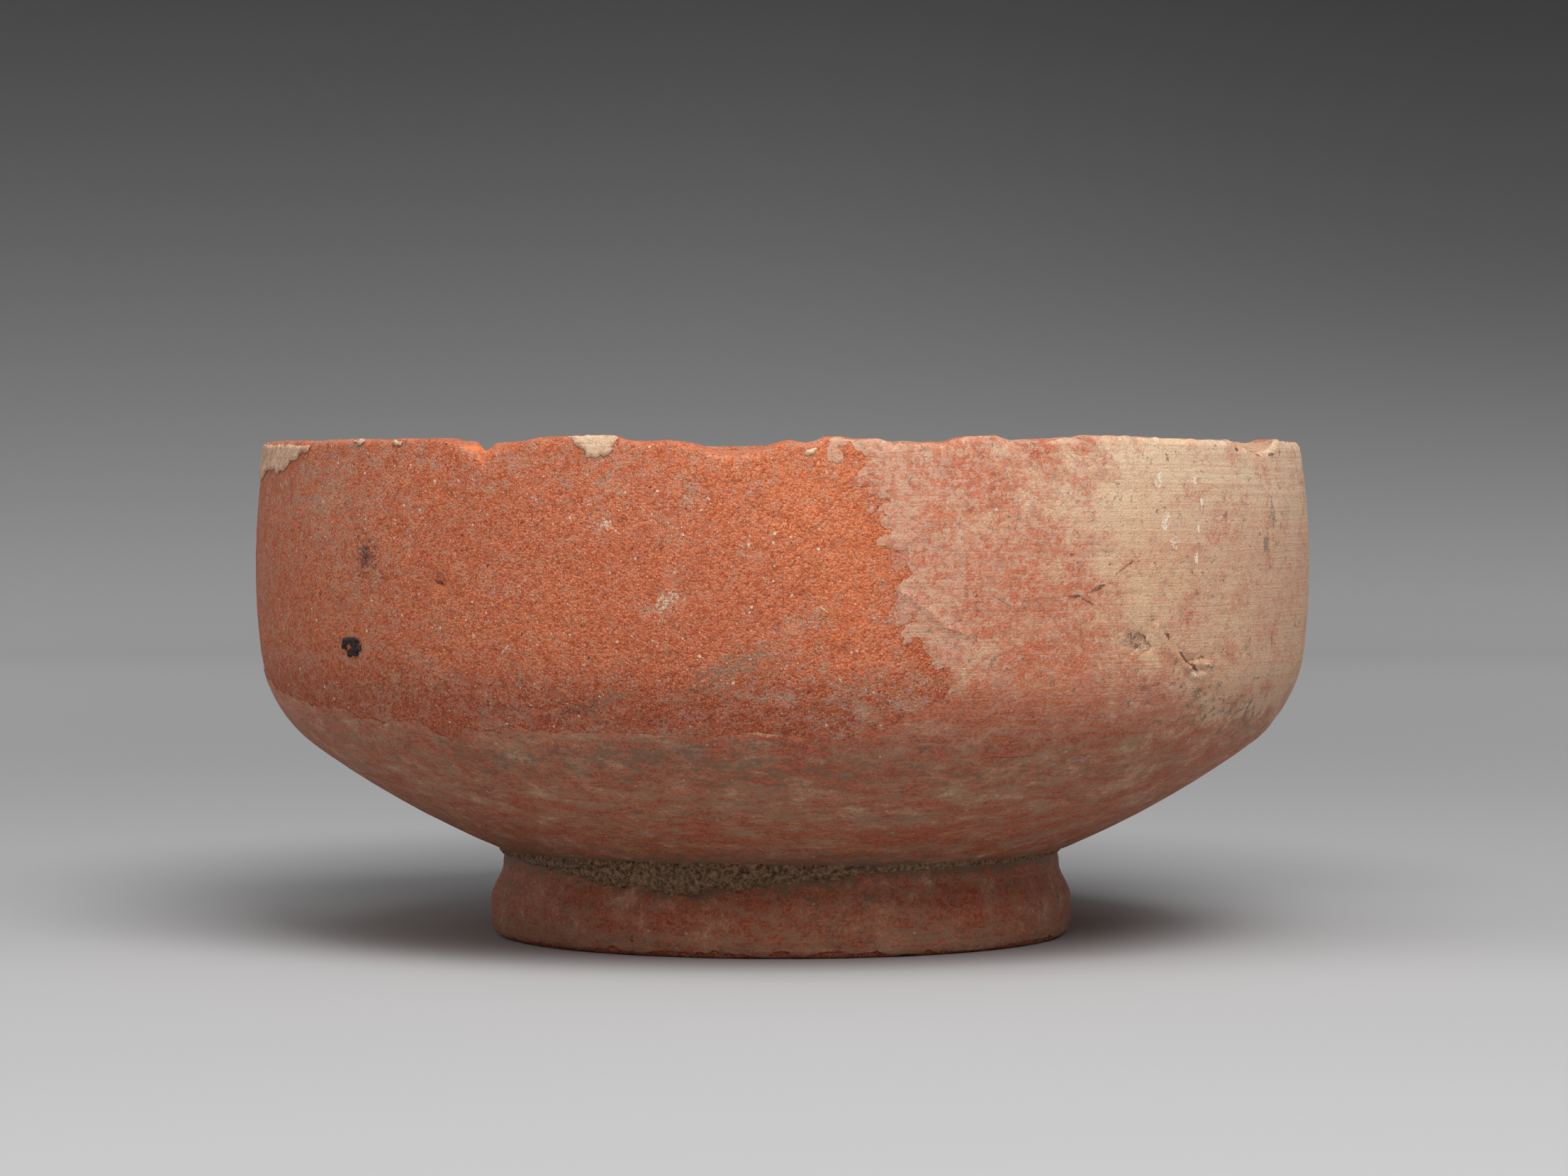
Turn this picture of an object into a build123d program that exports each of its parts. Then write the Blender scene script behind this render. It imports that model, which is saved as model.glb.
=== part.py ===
from build123d import *
import os
from math import asin, atan, atan2, cos, degrees, hypot, radians, sin, sqrt

# Terra sigillata bowl: a wheel-thrown bowl luted to a foot ring, dipped in slip and fired.
# Burial and wear have chipped the rim and flaked the coat from the front left of the wall.
# Millimetres and degrees. It stands on z = 0 and turns about Z, and -Y is the front.
# Azimuths are measured from the front, positive towards +X.

# Thrown bowl: the outside is three tangent arcs, the inside lies one wall further in
height = 56.0             # rim above the table
belly_radius = 59.75      # widest place of the wall
belly_height = 42.0       # height of the widest place
wall_bow_radius = 82.0    # bow of the upright wall
shoulder_radius = 15.5    # turn from the upright wall to the lower wall
shoulder_height = 34.3    # height of the shoulder arc's centre
lower_bow_radius = 103.0  # bow of the lower wall
wall = 5.0                # thickness of the wall
floor_thickness = 5.4     # clay under the middle of the bowl
floor_turn_radius = 25.0  # turn from the floor to the inside of the lower wall
rim_round = 0.8           # rounded edges of the rim

# Foot ring and its luted seat
foot_height = 9.8         # underside of the bowl above the table
foot_radius = 32.9        # widest place of the foot
foot_flare = 1.4          # how far the foot stands out past its neck
neck_band = 1.3           # upright neck under the joint
flare_drop = 4.0          # height over which the neck widens to the foot
foot_wall = 5.0           # thickness of the ring at its top
foot_face_width = 4.7     # width of the ring at the table, before its edges are rounded
foot_edge_round = 1.0     # outer edge at the table
foot_inner_round = 0.8    # inner edge at the table
spigot_depth = 2.6        # how far the turned boss of the floor goes down into the ring
luting_gap = 0.5          # slip between the ring and its seat
score_count = 3           # scored lines on the top of the ring, which key the slip
score_width = 0.7
score_depth = 0.4

# Slip coat
coat = 0.25               # outer face of the fired slip above the clay
coat_seat = 0.03          # hair clearance between a coat and its clay
rim_bare = 1.0            # bare clay below the top of the rim
foot_bare = 1.4           # bare clay above the table, on both faces of the ring

# Chips that cross the rim: azimuth, length along the rim, depth
rim_chips = ((-4.3, 8.4, 1.2), (2.7, 3.0, 0.5), (14.4, 6.6, 0.6), (26.0, 7.0, 0.45))
# Notch with a long bevel on each side: azimuth, then (place along the rim, drop below it)
notch_azimuth = -31.0
notch_line = ((-4.0, 0.0), (-1.0, 0.45), (0.0, 1.4), (1.3, 0.5), (6.5, 0.0))
# Scoop struck from the outer edge of the rim: azimuth, radius of the bite, depth into the wall, drop
scoop_azimuth = 62.5
scoop_radius = 3.0
scoop_depth = 1.1
scoop_drop = 0.7

# Worn patch seen from the front: (x, drop below the rim) from the top right down its torn edge
# and back along the shoulder to the left
worn_front = (
    (4.9, 2.2), (6.1, 3.0), (8.9, 2.0), (6.8, 4.6), (9.2, 5.6), (11.2, 6.6), (8.7, 7.3),
    (11.2, 9.7), (9.8, 11.0), (12.9, 11.6), (13.2, 13.7), (11.7, 16.0), (11.9, 19.2),
    (14.0, 20.6), (16.1, 23.0), (17.3, 25.8), (12.9, 28.6), (8.6, 29.7), (3.6, 31.1),
    (-2.5, 30.3), (-11.6, 30.6), (-24.0, 30.4), (-31.0, 30.7), (-35.0, 31.7), (-38.5, 29.9),
    (-43.0, 30.2), (-48.0, 29.0), (-54.0, 28.1), (-58.0, 26.6),
)
# The same patch seen from the left: (y, drop below the rim), from its lower front to its back edge
worn_left = ((-1.0, 26.6), (5.0, 25.4), (11.0, 22.0), (14.0, 15.5), (19.0, 9.0), (17.5, 3.5))

# Flakes left standing in the worn patch: their azimuths, and (place along the rim, drop below it)
flake_azimuths = (-75.0, -19.0, 2.9)
flake_outlines = (
    ((-17.0, 0.4), (15.0, 0.6), (14.8, 1.3), (11.5, 1.9), (9.2, 2.3), (8.8, 3.5), (-17.0, 3.3)),
    ((-2.6, 0.2), (2.1, 0.1), (1.6, 1.4), (0.2, 1.9), (-1.1, 1.7), (-1.3, 0.9)),
    ((-0.5, 1.2), (0.6, 1.2), (0.5, 1.7), (-0.3, 1.9)),
)

# Soil in the groove above the foot: a bead whose circle is set off centre, so both ends run out
soil_azimuth = -20.0      # where the soil is thickest
soil_bead = 2.1           # radius of the bead's section
soil_reach = 0.75         # how far the bead stands out past the foot where it is thickest
soil_offset = 7.5         # shift of the bead's circle from the axis
soil_drop = 1.5           # middle of the bead below the joint

# Black crust on the bare wall, an open ring
crust_azimuth = -50.4
crust_tilt = -5.4         # slope of the wall where it sits
crust_radius = 0.8        # middle of the ring
crust_bead = 0.4          # radius of its section
crust_sweep = 280.0


# Places that follow from the sizes above
neck_radius = foot_radius - foot_flare
ring_top = foot_height - luting_gap
recess_radius = neck_radius - foot_wall - luting_gap
recess_height = foot_height - spigot_depth
floor_top = recess_height + floor_thickness
past = belly_radius + wall  # further out than any piece


def polar(centre, radius, angle):
    """Point at an angle on a circle of the section plane."""
    return (centre[0] + radius * cos(radians(angle)), centre[1] + radius * sin(radians(angle)))


def wall_arcs():
    """The three arcs of the outside as (centre, radius) with the angles where they meet.

    The upright wall is widest at the belly, the shoulder arc touches it from inside, and the
    lower arc passes through the neck and touches the shoulder arc.
    """
    upright = (belly_radius - wall_bow_radius, belly_height)
    top = -degrees(asin((belly_height - shoulder_height) / (wall_bow_radius - shoulder_radius)))
    shoulder = polar(upright, wall_bow_radius - shoulder_radius, top)
    across = shoulder[0] - neck_radius
    rise = shoulder[1] - foot_height
    reach = hypot(across, rise)
    inner = lower_bow_radius - shoulder_radius
    along = (lower_bow_radius**2 - inner**2 + reach**2) / (2 * reach)
    aside = sqrt(lower_bow_radius**2 - along**2)
    lower = (
        neck_radius + (along * across - aside * rise) / reach,
        foot_height + (along * rise + aside * across) / reach,
    )
    bottom = degrees(atan2(shoulder[1] - lower[1], shoulder[0] - lower[0]))
    neck = degrees(atan2(foot_height - lower[1], neck_radius - lower[0]))
    return upright, shoulder, lower, top, bottom, neck


upright_centre, shoulder_centre, lower_centre, shoulder_top, shoulder_bottom, neck_angle = wall_arcs()


def wall_line(grow, start, top_height):
    """Edges of the wall moved outwards by grow, from an angle of the lower arc up to a height."""
    upright_radius = wall_bow_radius + grow
    finish = degrees(asin((top_height - belly_height) / upright_radius))
    return [
        CenterArc(lower_centre, lower_bow_radius + grow, start, shoulder_bottom - start),
        CenterArc(shoulder_centre, shoulder_radius + grow, shoulder_bottom, shoulder_top - shoulder_bottom),
        CenterArc(upright_centre, upright_radius, shoulder_top, finish - shoulder_top),
    ]


def inside_line(lift, top_height):
    """Edges of the inside, from the axis to a height, with a coat of thickness lift on the clay."""
    grow = -wall - lift
    floor = floor_top + lift
    turn = floor_turn_radius - lift
    turn_height = floor + turn
    arm = lower_bow_radius + grow - turn
    sweep = asin((turn_height - lower_centre[1]) / arm)
    turn_centre = (lower_centre[0] + arm * cos(sweep), turn_height)
    start = degrees(sweep)
    return [
        Line((0, floor), (turn_centre[0], floor)),
        CenterArc(turn_centre, turn, -90, start + 90),
    ] + wall_line(grow, start, top_height)


def foot_line(grow, bottom, top):
    """Edges of the outside of the foot moved outwards by grow, from the bottom up to the top.

    The flare is an S of two equal arcs between the upright foot and the upright neck.
    """
    flare_top = ring_top - neck_band
    flare_bottom = flare_top - flare_drop
    bend = 2 * atan(foot_flare / flare_drop)
    radius = flare_drop / (2 * sin(bend))
    turn = degrees(bend)
    bulge_centre = (foot_radius - radius, flare_bottom)
    hollow_centre = (neck_radius + radius, flare_top)
    return [
        Line((foot_radius + grow, bottom), (foot_radius + grow, flare_bottom)),
        CenterArc(bulge_centre, radius + grow, 0, turn),
        CenterArc(hollow_centre, radius - grow, 180, turn),
        Line((neck_radius + grow, flare_top), (neck_radius + grow, top)),
    ]


def ring_inside(z):
    """Radius of the tapered inside of the foot ring at a height."""
    at_table = foot_radius - foot_face_width
    at_top = neck_radius - foot_wall
    return at_table + (at_top - at_table) * z / ring_top


def turned(section):
    """Section in the (radius, height) plane turned about the axis."""
    return revolve(Plane.XZ * section, Axis.Z)


def strip(near, far):
    """Section between two runs of edges, closed by a straight line at each end."""
    ends = [Line(near[0] @ 0, far[0] @ 0), Line(near[-1] @ 1, far[-1] @ 1)]
    return make_face(near + far + ends)


def facing(azimuth, radius, z):
    """Plane on a circle round the axis, with its normal outwards and its y upwards."""
    out = (sin(radians(azimuth)), -cos(radians(azimuth)), 0)
    side = (cos(radians(azimuth)), sin(radians(azimuth)), 0)
    return Plane((radius * out[0], radius * out[1], z), x_dir=side, z_dir=out)


def radial_prism(azimuth, outline):
    """Outline of (place along the rim, drop below it) carried outwards from the axis."""
    points = [(place, -drop) for place, drop in outline]
    return extrude(facing(azimuth, 0, height) * make_face(Polyline(points, close=True)), past)


def rim_cutters():
    """Solids that the lost chips of the rim leave behind."""
    cutters = []
    for azimuth, length, depth in rim_chips:
        radius = ((length / 2) ** 2 + depth**2) / (2 * depth)
        disc = Pos(0, radius - depth) * Circle(radius)
        cutters.append(extrude(facing(azimuth, 0, height) * disc, past))
    lid = ((notch_line[-1][0], -rim_bare), (notch_line[0][0], -rim_bare))
    cutters.append(radial_prism(notch_azimuth, notch_line + lid))
    rim_radius = (wall_line(0, neck_angle, height)[-1] @ 1).X
    bite = facing(scoop_azimuth, rim_radius + scoop_radius - scoop_depth, height - scoop_drop)
    cutters.append(bite * Sphere(scoop_radius))
    return cutters


def cut(solid, cutters):
    """Solid with each cutter taken from it in turn."""
    for cutter in cutters:
        solid = solid - cutter
    return solid


def thrown_bowl():
    """Bowl without its coat, with the turned boss under the floor that the foot ring fits round."""
    outside = wall_line(0, neck_angle, height)
    inside = inside_line(0, height)
    underside = Polyline(
        inside[0] @ 0, (0, recess_height), (recess_radius, recess_height), (recess_radius, foot_height),
        outside[0] @ 0,
    )
    rim = Line(outside[-1] @ 1, inside[-1] @ 1)
    section = make_face(outside + [rim] + inside + underside.edges())
    rim_corners = section.vertices().sort_by(Axis.Y)[-2:]
    return turned(fillet(rim_corners, rim_round))


def scored_lines():
    """Rings of V section cut in the top of the foot ring, evenly spaced over its width."""
    pitch = foot_wall / score_count
    lines = []
    for i in range(score_count):
        middle = ring_inside(ring_top) + pitch * (i + 0.5)
        left = (middle - score_width / 2, ring_top)
        right = (middle + score_width / 2, ring_top)
        lines.append(turned(make_face(Polyline(left, right, (middle, ring_top - score_depth), close=True))))
    return lines


def foot_ring():
    """Ring with its neck, flare and bulge, a tapered inside and scored lines on its top."""
    outside = foot_line(0, 0, ring_top)
    rest = Polyline(outside[-1] @ 1, (ring_inside(ring_top), ring_top), (ring_inside(0), 0), outside[0] @ 0)
    section = make_face(outside + rest.edges())
    at_table = section.vertices().group_by(Axis.Y)[0].sort_by(Axis.X)
    section = fillet(at_table[0], foot_inner_round)
    outer_edge = section.vertices().group_by(Axis.Y)[0].sort_by(Axis.X)[-1]
    section = fillet(outer_edge, foot_edge_round)
    return cut(turned(section), scored_lines())


def luting_slip():
    """Slip between the ring and its seat on the bowl, which also fills the scored lines."""
    corners = (
        (recess_radius, recess_height), (recess_radius, foot_height), (neck_radius, foot_height),
        (neck_radius, ring_top), (ring_inside(ring_top), ring_top),
        (ring_inside(recess_height), recess_height),
    )
    slip = turned(make_face(Polyline(corners, close=True)))
    for line in scored_lines():
        slip = slip + line
    return slip


def whole_outer_coat(seat):
    """Coat on the outside of the wall before any of it was lost, from seat to coat above the clay."""
    top = height - rim_bare
    return turned(strip(wall_line(seat, neck_angle, top), wall_line(coat, neck_angle, top)))


def inner_coat():
    """Coat on the floor and the inside of the wall."""
    top = height - rim_bare
    return turned(strip(inside_line(coat_seat, top), inside_line(coat, top)))


def foot_coat(seat):
    """Coat on the outside of the foot ring, from seat to coat above the clay, worn off near the table."""
    return turned(strip(foot_line(seat, foot_bare, ring_top), foot_line(coat, foot_bare, ring_top)))


def recess_coat():
    """Coat under the floor and down the inside of the ring, worn off near the table."""
    low = foot_bare
    roof = recess_height - coat_seat
    under = recess_height - coat
    near = Polyline((0, roof), (ring_inside(roof) - coat_seat, roof), (ring_inside(low) - coat_seat, low))
    far = Polyline((0, under), (ring_inside(under) - coat, under), (ring_inside(low) - coat, low))
    return turned(strip(near.edges(), far.edges()))


def worn_patch():
    """Space of the coat that has flaked off, drawn from the front and carried on round the left."""
    above = -rim_round
    corners = ((-past, worn_front[-1][1]), (-past, above), (worn_front[0][0], above))
    front = radial_prism(0, worn_front + corners)
    side = [(y, height - drop) for y, drop in worn_left]
    side += [(worn_left[-1][0], height - above), (worn_left[0][0], height - above)]
    left = extrude(Plane.YZ * make_face(Polyline(side, close=True)), -past)
    return [front, left]


def groove_soil(solids):
    """Crescent of soil in the groove: an off-centre ring of soil less everything it lies against."""
    circle = foot_radius + soil_reach - soil_bead - soil_offset
    middle = facing(soil_azimuth, soil_offset, foot_height - soil_drop)
    bead = middle * Rot(90, 0, 0) * Torus(circle, soil_bead)
    groove = Pos(0, 0, foot_height) * (Cylinder(past, foot_height) - Cylinder(neck_radius, foot_height))
    return cut(bead & groove, solids)


def black_crust(bowl):
    """Open ring of crust half sunk in the wall, less the clay that it sits on."""
    if crust_tilt > shoulder_top:
        radius, z = polar(upright_centre, wall_bow_radius, crust_tilt)
    else:
        radius, z = polar(shoulder_centre, shoulder_radius, crust_tilt)
    seat = facing(crust_azimuth, radius, z) * Rot(-crust_tilt, 0, 0)
    return seat * Torus(crust_radius, crust_bead, major_angle=crust_sweep) - bowl


def save(node, shape):
    """Write one node as one file of separate solids."""
    shape.label = node
    export_step(shape, f"parts/{node}.step")


os.makedirs("parts", exist_ok=True)
chips = rim_cutters()
bowl = cut(thrown_bowl(), chips)
ring = foot_ring()
fresh_coat = cut(whole_outer_coat(coat_seat), chips)
outer = cut(fresh_coat, worn_patch())
flakes = [fresh_coat & radial_prism(*place) for place in zip(flake_azimuths, flake_outlines)]

save("thrown_bowl", bowl)
save("foot_ring", ring)
save("luting_slip", luting_slip())
save("outer_slip_coat", outer)
save("inner_slip_coat", cut(inner_coat(), chips))
save("foot_slip_coat", foot_coat(coat_seat))
save("recess_slip_coat", recess_coat())
save("slip_flakes", Compound([solid for flake in flakes for solid in flake.solids()]))
save("groove_soil", groove_soil([bowl, ring, whole_outer_coat(0), foot_coat(0)]))
save("black_deposit", black_crust(bowl))
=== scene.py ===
import bpy
import numpy as np
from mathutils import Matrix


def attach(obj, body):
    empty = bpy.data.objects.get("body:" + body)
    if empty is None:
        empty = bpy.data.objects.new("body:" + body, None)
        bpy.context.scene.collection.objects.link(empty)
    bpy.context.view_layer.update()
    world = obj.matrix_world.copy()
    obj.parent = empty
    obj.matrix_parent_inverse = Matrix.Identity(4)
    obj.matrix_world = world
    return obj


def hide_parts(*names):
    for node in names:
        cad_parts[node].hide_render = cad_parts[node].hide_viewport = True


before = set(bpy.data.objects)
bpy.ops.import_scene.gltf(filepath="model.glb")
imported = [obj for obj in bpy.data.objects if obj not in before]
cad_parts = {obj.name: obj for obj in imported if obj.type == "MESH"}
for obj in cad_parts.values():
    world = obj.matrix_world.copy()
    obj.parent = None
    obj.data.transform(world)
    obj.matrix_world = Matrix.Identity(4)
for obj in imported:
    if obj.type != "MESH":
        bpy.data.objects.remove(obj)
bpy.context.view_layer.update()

# Thrown bowl.
# The clay body, thrown on a wheel in orange clay and turned outside: floor, flaring lower wall, rounded
# shoulder and upright wall. The rim is chipped, and where the slip is lost the wall shows gritty clay with
# pits and pale grit.
wall_arcs = (  # centre radius and height, arc radius, first and last angle from the horizontal
    (-7.662, 105.064, 103.0, -67.653, -53.973),
    (43.803, 34.3, 15.5, -53.973, -6.649),
    (-22.25, 42.0, 82.0, -6.649, 9.831),
)
wall_thickness = 5.0
rim_height, rim_round = 56.0, 0.8
neck_radius, neck_height = 31.5, 9.8
boss_radius, boss_height = 26.0, 7.2
floor_turn = (20.22, 37.6, 25.0, -67.54)  # centre radius and height, arc radius, angle at the wall
arc_lengths = [radius * np.radians(last - first) for _, _, radius, first, last in wall_arcs]
rim_climb = sum(arc_lengths)
rim_lean = np.radians(wall_arcs[2][4])

# How far the crest stands below the full height, and how much lower the outer lip of the break lies: turn,
# drop in mm.
crest_drop = np.array((
    (-180, 0.1), (-150, 0), (-145.5, 0.1), (-144, 0.7), (-139, 0.9), (-135, 0.65), (-133.5, 0.15),
    (-128, 0.25), (-100, 0.05), (-82, -0.05), (-60, 0), (-50, -0.1), (-47, 0), (-44, -0.05), (-36.8, -0.1),
    (-35.6, -0.05), (-34.5, 0.1), (-33.3, 0.15), (-32.7, 0.25), (-31.5, 1.4), (-30.4, 0.42), (-28.2, 0.3),
    (-27, 0.22), (-25.2, -0.1), (-24.2, -0.18), (-19.5, -0.27), (-16.7, -0.18), (-15.8, 0.15), (-14, 0.3),
    (-12.2, 0.26), (-11.4, 0.15), (-9.6, 0.45), (-8.3, 0.65), (-6.9, 1.1), (-5, 1.25), (-3.2, 1.2),
    (-1.8, 1.05), (-1, 0.6), (-0.1, 0.35), (0.7, 0.2), (2.3, 0.5), (3.3, 0.3), (4.2, -0.05), (5.9, -0.08),
    (6.9, 0.06), (9.5, 0.12), (11.2, 0.42), (12, 0.28), (13.7, 0.45), (14.6, 0.36), (15.8, 0.5),
    (16.4, 0.4), (17.4, 0.1), (19.2, -0.14), (22, -0.24), (22.9, -0.05), (23.9, 0.22), (26.8, 0.05),
    (28.8, 0), (31, -0.06), (32, -0.33), (36, -0.33), (41.2, -0.22), (43.7, -0.06), (52.6, 0.02),
    (55.8, 0.1), (60.2, 0.28), (62.5, 0.1), (65, -0.08), (68, -0.16), (71.9, 0.04), (90, 0), (118, 0.3),
    (131, 0.05), (180, 0.1),
))
lip_drop = np.array((
    (-180, 0.1), (-37, 0.1), (-35, 0.6), (-33, 1.1), (-31.3, 1.2), (-30, 0.9), (-28.7, 0.4), (-27, 0.1),
    (-9.5, 0.1), (-7.5, 0.5), (-4, 0.6), (-1, 0.45), (1, 0.1), (10, 0.1), (13, 0.2), (16, 0.2), (18, 0.1),
    (55, 0.1), (57.5, 0.7), (61, 1.3), (64.5, 1.2), (67, 0.1), (180, 0.1),
))


def smooth(x, low, high):
    """Smoothstep: 0 at low, 1 at high, and three t squared less two t cubed between them."""
    t = np.clip((x - low) / (high - low), 0, 1)
    return t * t * (3 - 2 * t)


def wall_line(climb):
    """Radius, height and outward normal after a climb from the neck: three arcs end to end, where each
    point is the arc's centre plus its radius along the polar direction, and that direction is the
    normal."""
    climb = np.asarray(climb, float)
    radius, height, out, up = (np.zeros_like(climb) for _ in range(4))
    start = 0.0
    for (centre, level, bend, first, _), length in zip(wall_arcs, arc_lengths):
        angle = np.radians(first) + (climb - start) / bend
        here = climb >= start - 1e-9
        radius = np.where(here, centre + bend * np.cos(angle), radius)
        height = np.where(here, level + bend * np.sin(angle), height)
        out, up = np.where(here, np.cos(angle), out), np.where(here, np.sin(angle), up)
        start += length
    return radius, height, out, up


def around(turn, radius, height):
    """Points at a turn in degrees from the front towards the right: radius times sine and minus cosine, and
    height."""
    turn, radius, height = np.broadcast_arrays(np.radians(turn), radius, height)
    return np.stack([radius * np.sin(turn), -radius * np.cos(turn), height], -1)


def swept(turns, rows):
    """Points of each row of radius and height at each turn."""
    return around(turns[None], rows[0][:, None], rows[1][:, None])


def lattice_noise(points, cell, seed):
    """Smooth noise from -1 to 1: seeded random values at the corners of a cubic lattice of that cell,
    blended over the eight corners round each point by the smoothstep of its place between them."""
    table = np.random.default_rng(seed).uniform(-1, 1, (32, 32, 32))
    corner = np.floor(points / cell).astype(int)
    part = smooth(points / cell - corner, 0, 1)
    total = 0
    for step in np.ndindex(2, 2, 2):
        share = np.where(step, part, 1 - part).prod(-1)
        at = (corner + step) % 32
        total = total + share * table[at[..., 0], at[..., 1], at[..., 2]]
    return total


def nearest_grain(points, cell, seed):
    """Distance in cells from each point to the nearest of one seeded random point per lattice cell, and a
    random number that belongs to that nearest point."""
    rng = np.random.default_rng(seed)
    spots, kinds = rng.uniform(0, 1, (16, 16, 16, 3)), rng.uniform(0, 1, (16, 16, 16))
    corner = np.floor(points / cell).astype(int)
    best, kind = np.full(points.shape[:-1], 9.0), np.zeros(points.shape[:-1])
    for step in np.ndindex(3, 3, 3):
        at = corner + step - 1
        near = at % 16
        gap = np.linalg.norm(at + spots[near[..., 0], near[..., 1], near[..., 2]] - points / cell, axis=-1)
        closer = gap < best
        best = np.where(closer, gap, best)
        kind = np.where(closer, kinds[near[..., 0], near[..., 1], near[..., 2]], kind)
    return best, kind


def put_mesh(name, points, faces, sharp=40):
    """Mesh from points in mm and a list of face arrays, each with as many columns as its faces have
    corners."""
    corners = np.concatenate([f.ravel() for f in faces]).astype(np.int32)
    sizes = np.concatenate([np.full(len(f), f.shape[1]) for f in faces])
    mesh = bpy.data.meshes.new(name)
    mesh.vertices.add(len(points))
    mesh.vertices.foreach_set("co", (points * 0.001).astype(np.float32).ravel())
    mesh.loops.add(len(corners))
    mesh.loops.foreach_set("vertex_index", corners)
    mesh.polygons.add(len(sizes))
    mesh.polygons.foreach_set("loop_start", (np.cumsum(sizes) - sizes).astype(np.int32))
    mesh.update(calc_edges=True)
    mesh.validate()
    mesh.shade_smooth()
    mesh.set_sharp_from_angle(angle=np.radians(sharp))
    piece = bpy.data.objects.new(name, mesh)
    bpy.context.scene.collection.objects.link(piece)
    return piece


def numbered(points):
    """Number of each point in a grid of rows by columns."""
    return np.arange(points[..., 0].size).reshape(points.shape[:2])


def quads(grid):
    """One face between each four neighbours in a grid of point numbers."""
    return np.stack([grid[:-1, :-1], grid[:-1, 1:], grid[1:, 1:], grid[1:, :-1]], -1).reshape(-1, 4)


def turned_skin(name, points, poles=None):
    """Skin over a grid of rows by columns that closes on itself round the axis: one face between each four
    points, with a fan at the first and last row to two poles, or with the last row joined to the first
    where there are none."""
    index = numbered(points)
    ring = np.concatenate([index, index[:, :1]], 1)
    faces = [quads(ring if poles else np.concatenate([ring, ring[:1]]))]
    flat = points.reshape(-1, 3)
    if poles:
        first, last = np.full(index.shape[1], len(flat)), np.full(index.shape[1], len(flat) + 1)
        flat = np.concatenate([flat, np.array(poles, float)])
        faces.append(np.stack([first, ring[0, 1:], index[0]], -1))
        faces.append(np.stack([index[-1], ring[-1, 1:], last], -1))
    return put_mesh(name, flat, faces)


def give(piece, name, values):
    """Stores one number per vertex on a piece, for its material to read."""
    kept = piece.data.attributes.new(name, "FLOAT", "POINT")
    kept.data.foreach_set("value", np.asarray(values, np.float32).ravel())


def blots(turn, climb, spots):
    """Soft stains: one minus the product of what each spot leaves, where a spot takes its strength times
    the bell curve of its distance, measured in half lengths along its tilt and half widths across it."""
    left = 1.0
    for at_turn, at_height, half_length, half_width, tilt, strength in spots:
        at_climb = climb_at(at_height)
        reach = np.radians((turn - at_turn + 180) % 360 - 180) * wall_line(at_climb)[0]
        rise, lean = climb - at_climb, np.radians(tilt)
        along = (reach * np.cos(lean) + rise * np.sin(lean)) / half_length
        across = (rise * np.cos(lean) - reach * np.sin(lean)) / half_width
        left = left * (1 - strength * np.exp(-along**2 - across**2))
    return 1 - left


climb_table = np.linspace(0, rim_climb + 3, 600)
height_table = wall_line(climb_table)[1]


def climb_at(height):
    """Climb from the neck at which the wall reaches a height."""
    return np.interp(height, height_table, climb_table)


def wall_place(turn, climb):
    """Point on the wall at a turn and a climb."""
    return around(turn, *wall_line(climb)[:2])


degree = np.radians(1) * 59.0  # width in mm of one degree round the wall


def on_wall(route):
    """Turns and heights on the wall as mm across and climb."""
    return np.array([(turn * degree, climb_at(height)) for turn, height in route])


# Outline of the patch where the slip is lost: its torn edge at the right, below and at the left, as turn
# and height.
torn_right = (
    (4.8, 55.7), (4.4, 54.8), (4.8, 53.8), (5.8, 53.0), (6.2, 54.2), (5.4, 54.9), (6.9, 55.1), (8.5, 54.2),
    (8.9, 53.3), (7.4, 52.3), (6.5, 51.8), (6.6, 51.2), (7.0, 50.8), (9.1, 50.9), (8.6, 50.0), (10.8, 49.4),
    (8.4, 48.9), (8.4, 48.6), (10.0, 48.1), (9.4, 47.5), (10.8, 46.3), (9.5, 45.5), (9.4, 44.9),
    (12.5, 44.4), (12.0, 43.2), (12.8, 42.3), (11.4, 40.8), (11.6, 39.7), (11.2, 38.0), (11.5, 36.8),
    (13.3, 37.6), (12.0, 36.1), (12.3, 35.0), (13.6, 35.4), (14.1, 34.2), (15.7, 33.0), (14.8, 32.0),
    (16.9, 32.4),
)
torn_below = (
    (17.1, 29.2), (12.9, 27.4), (10.1, 25.9), (8.7, 26.3), (7.9, 25.7), (6.1, 25.0), (4.2, 25.9),
    (3.6, 24.9), (1.7, 25.5), (0.6, 24.9), (-0.1, 26.0), (-2.1, 25.5), (-2.9, 25.8), (-7.7, 25.2),
    (-8.7, 25.6), (-11.8, 25.4), (-16.5, 25.9), (-18.4, 25.6), (-21, 25.8), (-24.5, 25.5), (-28.1, 26.0),
    (-33.1, 25.3), (-35.3, 25.7), (-38.7, 24.3), (-41.8, 26.1), (-48.8, 25.8), (-56.3, 27.0), (-61.6, 27.1),
    (-67.6, 27.9), (-79.6, 29.4),
)
torn_left = ((-90, 31), (-97, 33.5), (-102, 38), (-105, 43), (-103, 48), (-107, 53))
above_rim = rim_climb + 4
patch = np.concatenate([on_wall(torn_right + torn_below + torn_left),
                        [(torn_left[-1][0] * degree, above_rim), (torn_right[0][0] * degree, above_rim)]])


def side_gap(across, climb, start, run, rise):
    """Distance to a straight side from its start, taken at the nearest point between its ends."""
    from_start, above = across - start[0], climb - start[1]
    t = np.clip((from_start * run + above * rise) / (run * run + rise * rise), 0, 1)
    return np.hypot(from_start - t * run, above - t * rise)


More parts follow.
